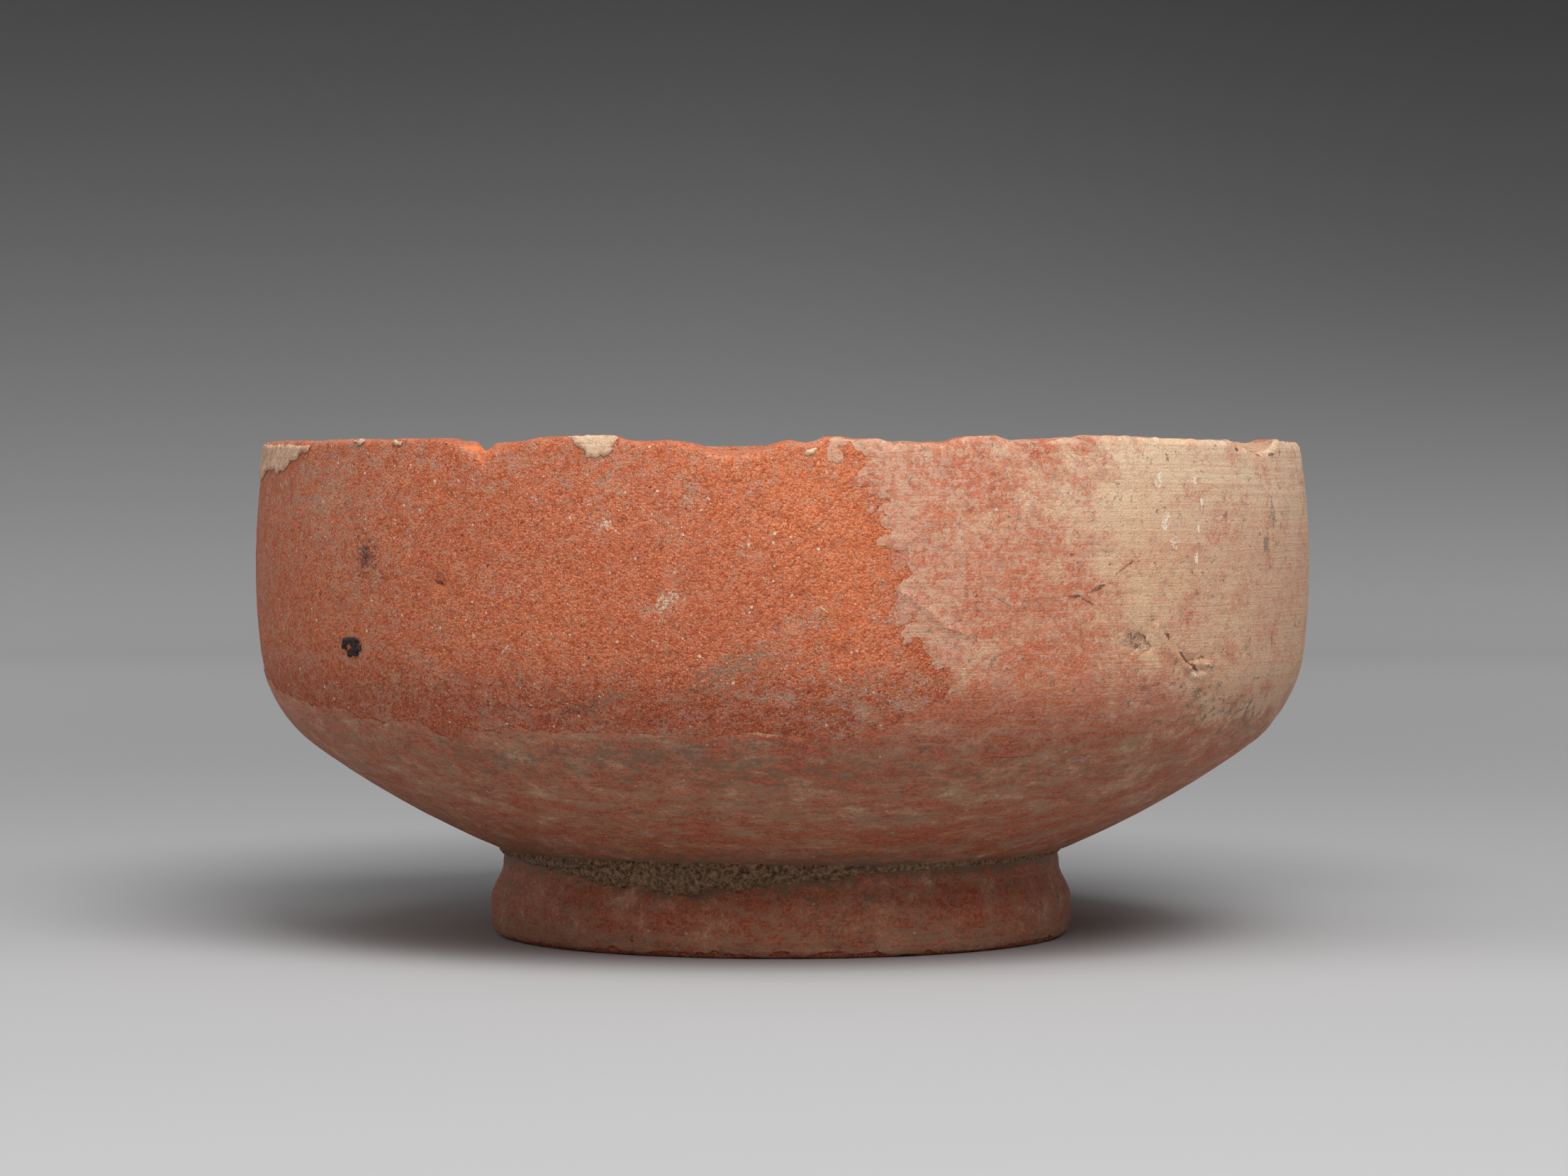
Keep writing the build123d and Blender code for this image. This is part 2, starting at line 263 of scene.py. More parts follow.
def gap_to(outline, across, climb):
    """Signed distance to a closed outline, positive outside: the least distance to its sides, with the sign
    from how many sides a level line to the right crosses."""
    best, inside = 1e9, False
    for start, end in zip(outline, np.roll(outline, -1, 0)):
        run, rise = end - start
        best = np.minimum(best, side_gap(across, climb, start, run, rise))
        if rise:
            level = (start[1] > climb) != (end[1] > climb)
            inside = inside ^ (level & (across < start[0] + (climb - start[1]) / rise * run))
    return np.where(inside, -best, best)


bowl_turns = np.concatenate([np.arange(-112, -38, 0.5), np.arange(-38, -27, 0.25), np.arange(-27, 78, 0.5),
                             np.linspace(78, 248, 92, endpoint=False)])
lip_start = 0.68  # how far below the rim its rounded lip begins
wall_climbs = np.linspace(0, rim_climb - lip_start, 112)
wall_rows = np.stack(wall_line(wall_climbs))

# Crest of the rim: a quarter round at the outer and the inner edge with a flat between, and the inside wall
# below it.
outer_arc, inner_bend = wall_arcs[2], wall_arcs[2][2] - wall_thickness
crest_level = rim_height - rim_round
crest_rise = crest_level - outer_arc[1]
crest_rounds = ((outer_arc[2] - rim_round, 0, 90, 1), (inner_bend + rim_round, 90, 180, -1))
crest_rows = []
for bend, start, stop, side in crest_rounds:
    lean = np.arcsin(crest_rise / bend)
    turn = np.linspace(np.radians(start) + lean * (side > 0), np.radians(stop) + lean * (side < 0), 7)
    middle = outer_arc[0] + bend * np.cos(lean)
    out, up = np.cos(turn), np.sin(turn)
    crest_rows.append(np.stack([middle + rim_round * out, crest_level + rim_round * up, out, up]))
crest_flat = np.linspace(crest_rows[0][:, -1], crest_rows[1][:, 0], 10, axis=1)[:, 1:-1]
crest_rows = np.concatenate([crest_rows[0], crest_flat, crest_rows[1]], 1)[:, 1:-1]

inside_stretch = 1.06  # the wall's outer line is that much longer than its inner one


def inside_line(run):
    """Radius, height and normal into the bowl after a run from the axis: the flat floor, the arc of the
    floor turn, and then the wall's three arcs with the wall's thickness taken off their radii."""
    centre, level, bend, meet = floor_turn
    flat, curve = centre, bend * np.radians(meet + 90)
    angle = np.radians(-90) + (run - flat) / bend
    radius = np.where(run < flat, run, centre + bend * np.cos(angle))
    height = np.where(run < flat, level - bend, level + bend * np.sin(angle))
    into, up = np.where(run < flat, 0, -np.cos(angle)), np.where(run < flat, 1, -np.sin(angle))
    wall = wall_line(np.maximum(run - flat - curve, 0) * inside_stretch)
    climbed = run > flat + curve
    return (np.where(climbed, wall[0] - wall_thickness * wall[2], radius),
            np.where(climbed, wall[1] - wall_thickness * wall[3], height),
            np.where(climbed, -wall[2], into), np.where(climbed, -wall[3], up))


inside_runs = np.linspace(0, 92, 1500)
inside_heights = inside_line(inside_runs)[1]
inside_end = np.interp(crest_level, inside_heights[400:], inside_runs[400:])
inside_rows = np.stack(inside_line(np.concatenate([np.linspace(inside_end, 20, 44), (14.0, 8.0, 3.0)])))
under_rows = np.array([(r, boss_height, 0, -1) for r in (3, 10, 17, 22, boss_radius)]
                      + [(boss_radius, neck_height, 1, 0), (28.7, neck_height, 0, -1)], float).T
bowl_rows = np.concatenate([under_rows, wall_rows, crest_rows, inside_rows], 1)
first_wall = under_rows.shape[1]
first_crest = first_wall + wall_rows.shape[1]
first_inside = first_crest + crest_rows.shape[1]

# Share of the rim's break that each row follows, and how far across the rim it lies from the outer lip.
rim_share = smooth(bowl_rows[1], rim_height - 5, rim_height - 0.9)
rim_share[:first_wall] = 0
from_lip = np.zeros(bowl_rows.shape[1])
crest_out, crest_in = crest_rows[0, 0], crest_rows[0, -1]
from_lip[first_crest:first_inside] = (crest_out - crest_rows[0]) / (crest_out - crest_in)
from_lip[first_inside:] = 1
straight_back = 0.09  # how much less the turn counts at the inner edge of the rim
crest_middle = 57.0
lip_width, lip_lost = 0.85, 0.18  # share of the rim's width where the outer lip's drop fades, and its offset


def rim_break(turn, lip):
    """Drop of the rim at a turn: the crest's drop, plus the share of the outer lip's drop, plus a little
    noise. The breaks run straight back, not to the axis, so away from the lip the turn counts a little less
    than it measures."""
    side, front = np.sin(np.radians(turn)), np.cos(np.radians(turn))
    side = side * (1 - straight_back * (1 - lip) * smooth(np.abs(front), 0, 0.3))
    turn = np.degrees(np.arctan2(side, np.sign(front) * np.sqrt(1 - side**2)))
    on_rim = around(turn, crest_middle, rim_height)
    rough = 0.06 * lattice_noise(on_rim, 1.0, 11) + 0.04 * lattice_noise(on_rim, 2.6, 12)
    lip_share = np.clip(lip / lip_width - lip_lost, 0, 1)
    lower = np.interp(turn, *lip_drop.T, period=360) + 0.14 * lattice_noise(on_rim, 0.8, 13)
    return np.interp(turn, *crest_drop.T, period=360) + rough + lip_share * lower


drop = rim_share[:, None] * rim_break(bowl_turns[None], 1 - from_lip[:, None])
bowl_radius = bowl_rows[0][:, None] + drop * np.sin(rim_lean)
bowl_height = bowl_rows[1][:, None] - drop * np.cos(rim_lean)
bowl_points = around(bowl_turns[None], bowl_radius, bowl_height)

# Relief of the bare wall, all of it below the turned line: slow waves, orange peel and scattered pits.
bowl_climb = climb_at(bowl_height)
bowl_gap = gap_to(patch, bowl_turns[None] * degree, bowl_climb)
bare_wall = np.zeros(bowl_rows.shape[1])
bare_wall[first_wall:first_inside] = smooth(bowl_rows[1, first_wall:first_inside], 20, 24)
pit_gap, pit_kind = nearest_grain(bowl_points, 2.0, 21)
relief = (0.05 + 0.03 * lattice_noise(bowl_points, 9, 22)
          + 0.035 * lattice_noise(bowl_points * (1, 1, 1.5), 1.3, 23)
          + 0.16 * (pit_kind < 0.3) * (1 - smooth(pit_gap, 0.1, 0.4)))
gouges = (
    (-36.9, 40.9, 1.0, 0.45, -25, 1), (1.6, 39.6, 1.3, 0.5, 10, 0.5), (5.8, 33.7, 1.6, 0.8, 0, 0.7),
    (38.9, 34.6, 1.3, 0.9, 0, 1), (-29.4, 45.7, 0.7, 0.5, 0, 0.6), (-0.6, 47.9, 0.8, 0.6, 0, 0.7),
)
gouge = blots(bowl_turns[None], bowl_climb, gouges)
relief = np.clip(relief, 0, 0.4) * smooth(-bowl_gap, -0.3, 1.5) + 0.4 * gouge
normal = swept(bowl_turns, bowl_rows[2:])
bowl_points = bowl_points - normal * (relief * bare_wall[:, None])[..., None]
floor_level = floor_turn[1] - floor_turn[2]
thrown_bowl = turned_skin("thrown_bowl_clay", bowl_points, [(0, 0, boss_height), (0, 0, floor_level)])

# Stains on the bare wall, then painted highlight in the last list: turn, height, half length, half width,
# tilt and strength.
clay_film = (
    (-40, 31, 14, 4, 4, 0.35), (-62, 33, 9, 3, 0, 0.4), (-27, 29.5, 16, 3, 2, 0.3), (5, 29, 9, 2.4, 5, 0.6),
    (-3, 33, 7, 2.2, 26, 0.6), (0, 30.5, 8, 1.6, 24, 0.4), (2.9, 37.1, 2.4, 1.0, 17, 0.6),
    (-11.3, 38.7, 2.4, 1.4, 35, 0.6), (-9, 49.2, 1.2, 2.4, 0, 0.6), (-17.8, 48.1, 1.2, 1.4, 0, 0.55),
    (-12, 45.5, 4, 2.5, 0, 0.35), (-4.3, 43.4, 3, 1.5, 20, 0.35), (-30, 41, 7, 2.5, 25, 0.4),
    (-20, 52, 9, 3, 0, 0.3), (-55, 48, 12, 7, 0, 0.6), (-75, 42, 10, 12, 0, 0.65), (-48, 40, 7, 6, 0, 0.45),
    (62, 55.5, 9, 1.6, 0, 1.0), (45, 56, 14, 1.0, 0, 0.9), (38.9, 34.6, 4, 3, 0, 1.0),
)
# The last spot of the dark list, at the pit, is painted shade in its hollow.
clay_dark = (
    (-47.5, 43.5, 2.3, 2.8, 0, 0.7), (-22.6, 27.6, 2.6, 0.8, 38, 0.6), (-19.5, 28.4, 2.6, 0.7, 35, 0.55),
    (-45, 30, 5, 1.5, 0, 0.3), (-30, 28, 8, 1.2, 0, 0.3), (3, 28.5, 4, 0.9, 8, 0.3),
    (-6, 31.4, 4, 0.6, 26, 0.5), (-13, 27, 6, 1.2, 0, 0.3), (38.9, 34.4, 1.0, 0.55, -25, 0.9),
)
clay_smear = (
    (-4.8, 32.5, 5.8, 1.2, 27, 1.0), (-2.0, 31.2, 5.0, 1.2, 25, 0.45), (-18.2, 28.7, 3.8, 1.0, 27, 0.8),
    (3.4, 37.4, 2.0, 0.7, 15, 0.6), (8, 30.5, 5, 1.2, 20, 0.5),
)
# Painted highlight: brighter orange where the light falls most on the wall, and on the lit faces of the
# notch in the rim.
clay_painted_light = (
    (3, 50, 8, 6, 0, 0.9), (7, 40, 5, 8, 0, 0.8), (-5, 54, 10, 2, 0, 0.6),
    (-32.8, 54.8, 2.6, 1.0, -20, 1.0), (-25, 36, 9, 5, 0, 0.3),
)
by_tear = 0.6 * smooth(bowl_gap, -4.5, -0.3) * smooth(lattice_noise(bowl_points, 3.0, 24), -0.5, 0.5)
by_rim = 0.3 * smooth(bowl_height, 46, 54)
for name, spots in (("film", clay_film), ("dark", clay_dark), ("smear", clay_smear), ("painted_light", clay_painted_light)):
    amount = blots(bowl_turns[None], bowl_climb, spots) + (by_tear + by_rim) * (name == "film")
    give(thrown_bowl, name, np.append(np.clip(amount, 0, 1) * bare_wall[:, None], (0, 0)))


def tint(red, green, blue):
    """Colour as 0 to 255 on a screen, turned into the linear light that a shader works in."""
    screen = np.array((red, green, blue)) / 255
    return (*np.where(screen < 0.04045, screen / 12.92, ((screen + 0.055) / 1.055) ** 2.4), 1.0)


def node(tree, kind, feeds=(), **settings):
    """One shader node: its settings, and its inputs set to a value or fed from another node's output."""
    made = tree.nodes.new("ShaderNode" + kind)
    for key, value in settings.items():
        setattr(made, key, value)
    for key, value in dict(feeds).items():
        if isinstance(value, bpy.types.NodeSocket):
            tree.links.new(value, made.inputs[key])
        else:
            made.inputs[key].default_value = value
    return made


def calc(tree, operation, first, second=0.0, third=0.0):
    """One step of arithmetic."""
    return node(tree, "Math", {0: first, 1: second, 2: third}, operation=operation).outputs[0]


def ramp(tree, value, low, high):
    """Smoothstep of a value between low and high."""
    return node(tree, "MapRange", {0: value, 1: low, 2: high}, interpolation_type="SMOOTHSTEP").outputs[0]


def lay(tree, share, under, over):
    """One colour laid over another by a share from 0 to 1."""
    return node(tree, "Mix", {0: share, 6: under, 7: over}, data_type="RGBA").outputs[2]


def vector(tree, operation, first, second=(0, 0, 0)):
    """One step of vector arithmetic; scaling takes a number."""
    key = "Scale" if operation == "SCALE" else 1
    made = node(tree, "VectorMath", {0: first, key: second}, operation=operation)
    return made.outputs["Value" if operation in ("DOT_PRODUCT", "LENGTH") else "Vector"]


def cloud(tree, place, size, detail=3.0, rough=0.6):
    """Fractal noise about 0.5 whose features have that size, for places in mm."""
    return node(tree, "TexNoise",
                {"Vector": place, "Scale": 1 / size, "Detail": detail, "Roughness": rough}).outputs[0]


def effect(name, vectors, numbers, gives):
    """Empty shader node group with its inputs, first the vectors and then the numbers, and its outputs.
    They are named in one string each, and their sockets are returned with the group."""
    tree = bpy.data.node_groups.new(name, "ShaderNodeTree")
    for way, kind, names in (("INPUT", "Vector", vectors), ("INPUT", "Float", numbers),
                             ("OUTPUT", "Float", gives)):
        for socket in names.split():
            tree.interface.new_socket(socket, in_out=way, socket_type="NodeSocket" + kind)
    return tree, tree.nodes.new("NodeGroupInput").outputs, tree.nodes.new("NodeGroupOutput").inputs


def use(tree, group, **feeds):
    """Places a node group and feeds its inputs."""
    return node(tree, "Group", {key.capitalize(): value for key, value in feeds.items()},
                node_tree=group).outputs


# Grain of the fired clay: packed beads a quarter of a millimetre wide and dust between them, on slower
# waves. The tone is the random shade of each bead and of the dust, shifted by the waves; the kind is a
# random number for each speck.
clay_grain, takes, gives = effect("clay grain", "Place", "", "Height Tone Kind")
waves = cloud(clay_grain, takes["Place"], 1.1, 5, 0.72)
height, tone = (calc(clay_grain, "MULTIPLY", waves, share) for share in (0.5, 0.3))
kinds = 0.0
for size, rise, shade in ((0.24, -0.5, 0.36), (0.11, -0.2, 0.28)):
    bead = node(clay_grain, "TexVoronoi", {"Vector": takes["Place"], "Scale": 1 / size}).outputs
    kind = node(clay_grain, "SeparateColor", {0: bead["Color"]}).outputs
    height = calc(clay_grain, "MULTIPLY_ADD", bead["Distance"], rise, height)
    tone = calc(clay_grain, "MULTIPLY_ADD", kind[0], shade, tone)
    kinds = calc(clay_grain, "MULTIPLY_ADD", kind[1], 0.5, kinds)
clay_grain.links.new(height, gives["Height"])
clay_grain.links.new(ramp(clay_grain, tone, 0.14, 0.8), gives["Tone"])
clay_grain.links.new(kinds, gives["Kind"])

# Pale grit, finer specks, and pinholes painted dark as shade in their hollows: the nearest random points, of
# which a share shows, each with its own size and an outline bent by noise.
grit, takes, gives = effect("grit", "Place", "Share", "Pale Specks Pits")
bend = node(grit, "TexNoise", {"Vector": takes["Place"], "Scale": 4.0, "Detail": 1}).outputs["Color"]
bend = vector(grit, "SCALE", vector(grit, "SUBTRACT", bend, (0.5, 0.5, 0.5)), 0.3)
for gives_name, spacing, smallest, largest, some in (
        ("Pale", 0.85, 0.06, 0.2, 1.0), ("Specks", 0.27, 0.06, 0.11, 1.0), ("Pits", 0.9, 0.05, 0.18, 0.5)):
    place = vector(grit, "ADD", vector(grit, "ADD", takes["Place"], bend), (spacing, 7 * spacing, 3))
    spot = node(grit, "TexVoronoi", {"Vector": place, "Scale": 1 / spacing})
    kind = node(grit, "SeparateColor", {0: spot.outputs["Color"]}).outputs
    size = calc(grit, "MULTIPLY_ADD", calc(grit, "POWER", kind[1], 3), largest - smallest, smallest)
    gap = calc(grit, "DIVIDE", calc(grit, "MULTIPLY", spot.outputs["Distance"], spacing), size)
    shown = calc(grit, "LESS_THAN", kind[0], calc(grit, "MULTIPLY", takes["Share"], some))
    grit.links.new(calc(grit, "MULTIPLY", shown, ramp(grit, gap, 1.15, 0.6)), gives[gives_name])

# Lines left by the wheel: noise drawn out round the axis and fine across it, by height plus part of the
# radius.
wheel_lines, takes, gives = effect("wheel lines", "Place", "Pitch", "Lines")
axes = node(wheel_lines, "SeparateXYZ", {0: takes["Place"]}).outputs
reach = vector(wheel_lines, "LENGTH", vector(wheel_lines, "MULTIPLY", takes["Place"], (1, 1, 0)))
across = calc(wheel_lines, "DIVIDE", calc(wheel_lines, "MULTIPLY_ADD", reach, 0.7, axes[2]), takes["Pitch"])
level_x, level_y = (calc(wheel_lines, "MULTIPLY", axes[axis], 0.05) for axis in (0, 1))
drawn = node(wheel_lines, "CombineXYZ", {0: level_x, 1: level_y, 2: across}).outputs[0]
wheel_lines.links.new(cloud(wheel_lines, drawn, 1, 3), gives["Lines"])

# Film of lime and dust: noise of a size with as much in its fine octaves as in its broad ones, stretched
# round the axis. The film grows with the cover, from none of the noise to all of it, and its edge is as
# soft as asked. It is given whole and as grains, where a speck of the surface takes the film if the mask
# beats that speck's own number.
film, takes, gives = effect("film", "Place", "Cover Size Streak Soft Kind", "Mask Grains")
axes = node(film, "SeparateXYZ", {0: takes["Place"]}).outputs
reach = vector(film, "LENGTH", vector(film, "MULTIPLY", takes["Place"], (1, 1, 0)))
across = calc(film, "MULTIPLY", calc(film, "MULTIPLY_ADD", reach, 0.5, axes[2]), takes["Streak"])
drawn = node(film, "CombineXYZ", {0: axes[0], 1: axes[1], 2: across}).outputs[0]
scale = calc(film, "DIVIDE", 1, takes["Size"])
broken = node(film, "TexNoise",
              {"Vector": drawn, "Scale": scale, "Detail": 6, "Roughness": 0.74}).outputs[0]
middle = calc(film, "MULTIPLY_ADD", takes["Cover"], -0.24, 0.62)
low, high = (calc(film, step, middle, takes["Soft"]) for step in ("SUBTRACT", "ADD"))
mask = ramp(film, broken, low, high)
film.links.new(mask, gives["Mask"])
film.links.new(ramp(film, calc(film, "SUBTRACT", mask, takes["Kind"]), 0, 0.3), gives["Grains"])

# One small mark, such as a scratch or a drip: an ellipse on the surface with a ragged edge, taken up by a
# share of the specks there that is its strength.
mark, takes, gives = effect("mark", "Place Centre Along Across", "Length Width Ragged Fine Strength Kind",
                            "Mask")
offset = vector(mark, "SUBTRACT", takes["Place"], takes["Centre"])
along = calc(mark, "DIVIDE", vector(mark, "DOT_PRODUCT", offset, takes["Along"]), takes["Length"])
across = calc(mark, "DIVIDE", vector(mark, "DOT_PRODUCT", offset, takes["Across"]), takes["Width"])
gap = vector(mark, "LENGTH", node(mark, "CombineXYZ", {0: along, 1: across}).outputs[0])
ragged = calc(mark, "MULTIPLY", calc(mark, "SUBTRACT", takes["Fine"], 0.5), takes["Ragged"])
near = calc(mark, "LESS_THAN", vector(mark, "LENGTH", offset), calc(mark, "ADD", takes["Length"], 3))
shape = calc(mark, "MULTIPLY", near, ramp(mark, calc(mark, "ADD", gap, ragged), 1.05, 0.45))
shown = calc(mark, "MULTIPLY", shape, calc(mark, "MULTIPLY", takes["Strength"], 1.25))
mark.links.new(ramp(mark, calc(mark, "SUBTRACT", shown, takes["Kind"]), 0, 0.25), gives["Mask"])


def draw_marks(tree, place, fine, kind, colour, marks):
    """Lays a list of marks over a colour. Each is turn, height, half length, half width, tilt, strength,
    ragged, tint; its two directions are the level one round the wall and the one up the wall, turned by the
    tilt."""
    for turn, height, length, width, tilt, strength, rag, hue in marks:
        radius, level, out, up = (float(v) for v in wall_line(climb_at(height)))
        a, lean = np.radians(turn), np.radians(tilt)
        level_way = np.array((np.cos(a), np.sin(a), 0))
        up_way = np.array((-up * np.sin(a), up * np.cos(a), out))
        shown = use(
            tree, mark, place=place, centre=around(turn, radius, level),
            along=np.cos(lean) * level_way + np.sin(lean) * up_way,
            across=np.cos(lean) * up_way - np.sin(lean) * level_way,
            length=length, width=width, ragged=rag, fine=fine, strength=strength, kind=kind)
        colour = paint(tree, colour, (shown["Mask"], 0.9, hue))
    return colour


def stain(tree, name):
    """Value that a piece keeps at its vertices."""
    return node(tree, "Attribute", attribute_name=name).outputs["Fac"]


def veil(tree, place, cover, size, streak, soft):
    """Mask of a film with that cover, size, stretch round the axis and softness."""
    return use(tree, film, place=place, cover=cover, size=size, streak=streak, soft=soft)["Mask"]


def grains_of(tree, place, kind, cover, size, streak, soft):
    """The same film taken up speck by speck."""
    return use(tree, film, place=place, cover=cover, size=size, streak=streak, soft=soft,
               kind=kind)["Grains"]


def paint(tree, colour, *layers):
    """Colours laid on another in turn, each by a mask times a strength."""
    for mask, strength, over in layers:
        colour = lay(tree, calc(tree, "MULTIPLY", mask, strength), colour, over)
    return colour


def raggedness(tree, place):
    """Noise about 0.5 with a wide spread, from broad to fine, to break up the edges of marks."""
    return calc(tree, "MULTIPLY_ADD", cloud(tree, place, 1.6, 6, 0.74), 9, -4)


def new_finish(name):
    """Empty material, its node tree, and the place on the piece in mm."""
    made = bpy.data.materials.new(name)
    made.use_nodes = True
    tree = made.node_tree
    tree.nodes.clear()
    return made, tree, vector(tree, "SCALE", node(tree, "TexCoord").outputs["Object"], 1000.0)


def close_finish(tree, colour, rough, height, depth, gloss=0.3):
    """Ends a material: colour, roughness and a relief of that depth in mm go to the shader and its
    output."""
    bump = node(tree, "Bump", {"Height": height, "Distance": depth * 0.001, "Strength": 1.0})
    body = node(tree, "BsdfPrincipled", {
        "Base Color": colour, "Roughness": rough, "Normal": bump.outputs[0], "Specular IOR Level": gloss})
    node(tree, "OutputMaterial", {0: body.outputs[0]})


# Single marks on the bare wall: turn, height, half length, half width, tilt, strength, raggedness and tint.
# The third and fourth of these tints are bright orange for painted highlight.
chalk, soot, lit_edge, lit_break = tint(214, 196, 172), tint(62, 50, 44), tint(226, 122, 74), tint(240, 138, 84)
clay_marks = (
    # painted highlight on the lit faces of the notch in the rim
    (-33.4, 55.2, 2.1, 0.5, -12, 0.75, 0.3, lit_break), (-31.2, 54.4, 0.9, 0.5, -60, 0.6, 0.3, lit_break),
    (-64.2, 49.8, 1.95, 0.16, 90, 0.5, 0.4, soot),
    # A gouge: painted shade in its hollow above, and painted highlight on its lit lower lip.
    (-36.9, 40.95, 0.9, 0.32, -25, 0.6, 0.5, tint(96, 44, 28)),
    (-36.4, 40.4, 0.9, 0.2, -25, 0.7, 0.4, lit_edge), (-28.4, 39.8, 3.0, 0.14, 33, 0.55, 0.7, chalk),
    (-28.9, 34.0, 1.0, 0.1, 46, 0.6, 0.4, chalk),
    (4.2, 38.45, 0.95, 0.11, -38, 0.85, 0.2, tint(214, 184, 128)),
    (-9.05, 49.2, 1.6, 0.5, 86, 0.25, 1.0, chalk), (-17.5, 47.9, 1.0, 0.45, 80, 0.6, 1.0, chalk),
    (-47.4, 43.4, 1.2, 1.7, 0, 0.5, 0.35, tint(80, 64, 56)), (-11.4, 39.0, 1.5, 0.9, 60, 0.5, 1.1, chalk),
)
clay_finish, tree, place = new_finish("gritty orange clay")
filmed = stain(tree, "film")
grain, grains = use(tree, clay_grain, place=place), use(tree, grit, place=place, share=0.5)
kind = grain["Kind"]
# The third of these tones is a brighter orange for painted highlight.
body, lower, painted_lit_orange, limed = (lay(tree, grain["Tone"], tint(*dark), tint(*light)) for dark, light in (
    ((160, 70, 38), (224, 132, 92)), ((134, 56, 32), (200, 108, 74)),
    ((186, 84, 42), (248, 152, 98)), ((190, 148, 118), (222, 186, 154))))
level = node(tree, "SeparateXYZ", {0: place}).outputs[2]
pink_film = grains_of(tree, place, kind, calc(tree, "MULTIPLY_ADD", filmed, 0.6, 0.2), 2.2, 1.3, 0.26)
grey_film = grains_of(tree, place, kind, calc(tree, "MULTIPLY_ADD", filmed, 0.55, 0.05), 1.2, 1.3, 0.15)
slanted = node(tree, "VectorRotate", {0: place, "Angle": np.radians(27)}, rotation_type="Y_AXIS").outputs[0]
colour = paint(
    tree, body,
    (veil(tree, place, 0.4, 6.0, 1.3, 0.12), 0.3, tint(178, 86, 54)),
    # painted shade: the bare wall darkens from 36 mm down to 28 mm, where it starts to turn under into the
    # shoulder
    (ramp(tree, level, 36, 28), 0.8, lower),
    # painted highlight
    (stain(tree, "painted_light"), 0.5, painted_lit_orange),
    (pink_film, 0.6, tint(198, 150, 124)),
    (grey_film, 0.6, tint(166, 144, 126)),
    (ramp(tree, filmed, 0.6, 1.0), 0.75, limed),
    (grains_of(tree, place, kind, stain(tree, "dark"), 0.6, 1.4, 0.17), 0.75, tint(78, 62, 54)),
    (grains_of(tree, slanted, kind, stain(tree, "smear"), 2.0, 5.0, 0.16), 0.72, tint(140, 116, 94)),
    # painted shade in the pinholes
    (grains["Pits"], 0.75, tint(84, 38, 24)),
    (grains["Specks"], 0.6, tint(236, 184, 152)),
    (grains["Pale"], 0.85, tint(234, 212, 188)))
colour = draw_marks(tree, place, raggedness(tree, place), kind, colour, clay_marks)
specks = calc(tree, "MULTIPLY", calc(tree, "SUBTRACT", grains["Pale"], grains["Pits"]), 0.3)
close_finish(tree, colour, 0.9, calc(tree, "ADD", grain["Height"], specks), 0.19)
thrown_bowl.data.materials.append(clay_finish)
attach(thrown_bowl, "root")
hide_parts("thrown_bowl")

# Foot ring.
# A ring of the same clay made apart: a short neck, a soft flare to the table and a tapered inside. Its
# lower edge is chipped where the bowl was set down.
ring_radius, ring_flare, flare_low, flare_high = 32.9, 1.4, 4.0, 8.0
ring_top, ring_edge_round, ring_inner_round = 9.3, 1.0, 0.8
ring_inside_low, ring_inside_high = 28.2, 26.5


def foot_line(climb):
    """Radius, height and outward normal of the foot at a climb above the table: the ring's radius, less the
    flare times the smoothstep of the height, with a quarter round at the table."""
    height = np.asarray(climb, float)
    t = np.clip((height - flare_low) / (flare_high - flare_low), 0, 1)
    low = np.clip(ring_edge_round - height, 0, ring_edge_round)
    radius = ring_radius - ring_flare * t * t * (3 - 2 * t)
    radius = radius - ring_edge_round + np.sqrt(ring_edge_round**2 - low**2)
    slope = -ring_flare * 6 * t * (1 - t) / (flare_high - flare_low)
    length = np.sqrt(1 + slope**2)
    return radius, height, 1 / length, -slope / length


foot_turns = np.concatenate([np.arange(-100, 100, 0.5), np.linspace(100, 260, 96, endpoint=False)])
outside = np.stack(foot_line(np.concatenate([ring_edge_round * (1 - np.cos(np.linspace(0.05, 1.5, 7))),
                                             np.linspace(1.1, ring_top, 22)])))
inner_turn = np.linspace(0, np.pi / 2, 5)
out, up = np.cos(inner_turn), np.sin(inner_turn)
inside = np.concatenate([
    np.array([(r, ring_top, 0, 1) for r in (30.2, 28.4)]).T,
    np.array([(ring_inside_high + (ring_inside_low - ring_inside_high) * (1 - h / ring_top), h, -1, 0)
              for h in (ring_top, 7.2, 5, 3, 1.6, ring_inner_round)]).T,
    np.stack([ring_inside_low + ring_inner_round * (1 - out) - 0.15, ring_inner_round * (1 - up),
              -out, -up])[:, 1:],
    np.array([(r, 0, 0, -1) for r in (29.8, 30.8, 31.6)]).T], 1)
ring_rows = np.concatenate([outside, inside], 1)
ring_points, ring_normal = swept(foot_turns, ring_rows), swept(foot_turns, ring_rows[2:])
chip_gap, chip_kind = nearest_grain(ring_points * (1, 1, 0.6), 3.4, 31)
low_edge = 1 - smooth(ring_rows[1], 0.5, 2.0)
low_edge[outside.shape[1] + 2:] *= 0.3
chips = (0.55 * (chip_kind < 0.45) * (1 - smooth(chip_gap, 0.1, 0.5))
         + 0.12 * (1 + lattice_noise(ring_points, 0.9, 32))) * low_edge[:, None]
chips = chips + 0.05 * (1 + lattice_noise(ring_points, 1.4, 33)) * (ring_rows[1] > 0.3)[:, None]
ring_points = ring_points - ring_normal * chips[..., None]
ring_points[..., 2] = np.maximum(ring_points[..., 2], 0)
foot_ring = turned_skin("foot_ring_clay", ring_points)
give(foot_ring, "film", np.full(ring_points.shape[:2], 0.25))
foot_ring.data.materials.append(clay_finish)
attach(foot_ring, "root")
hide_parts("foot_ring")

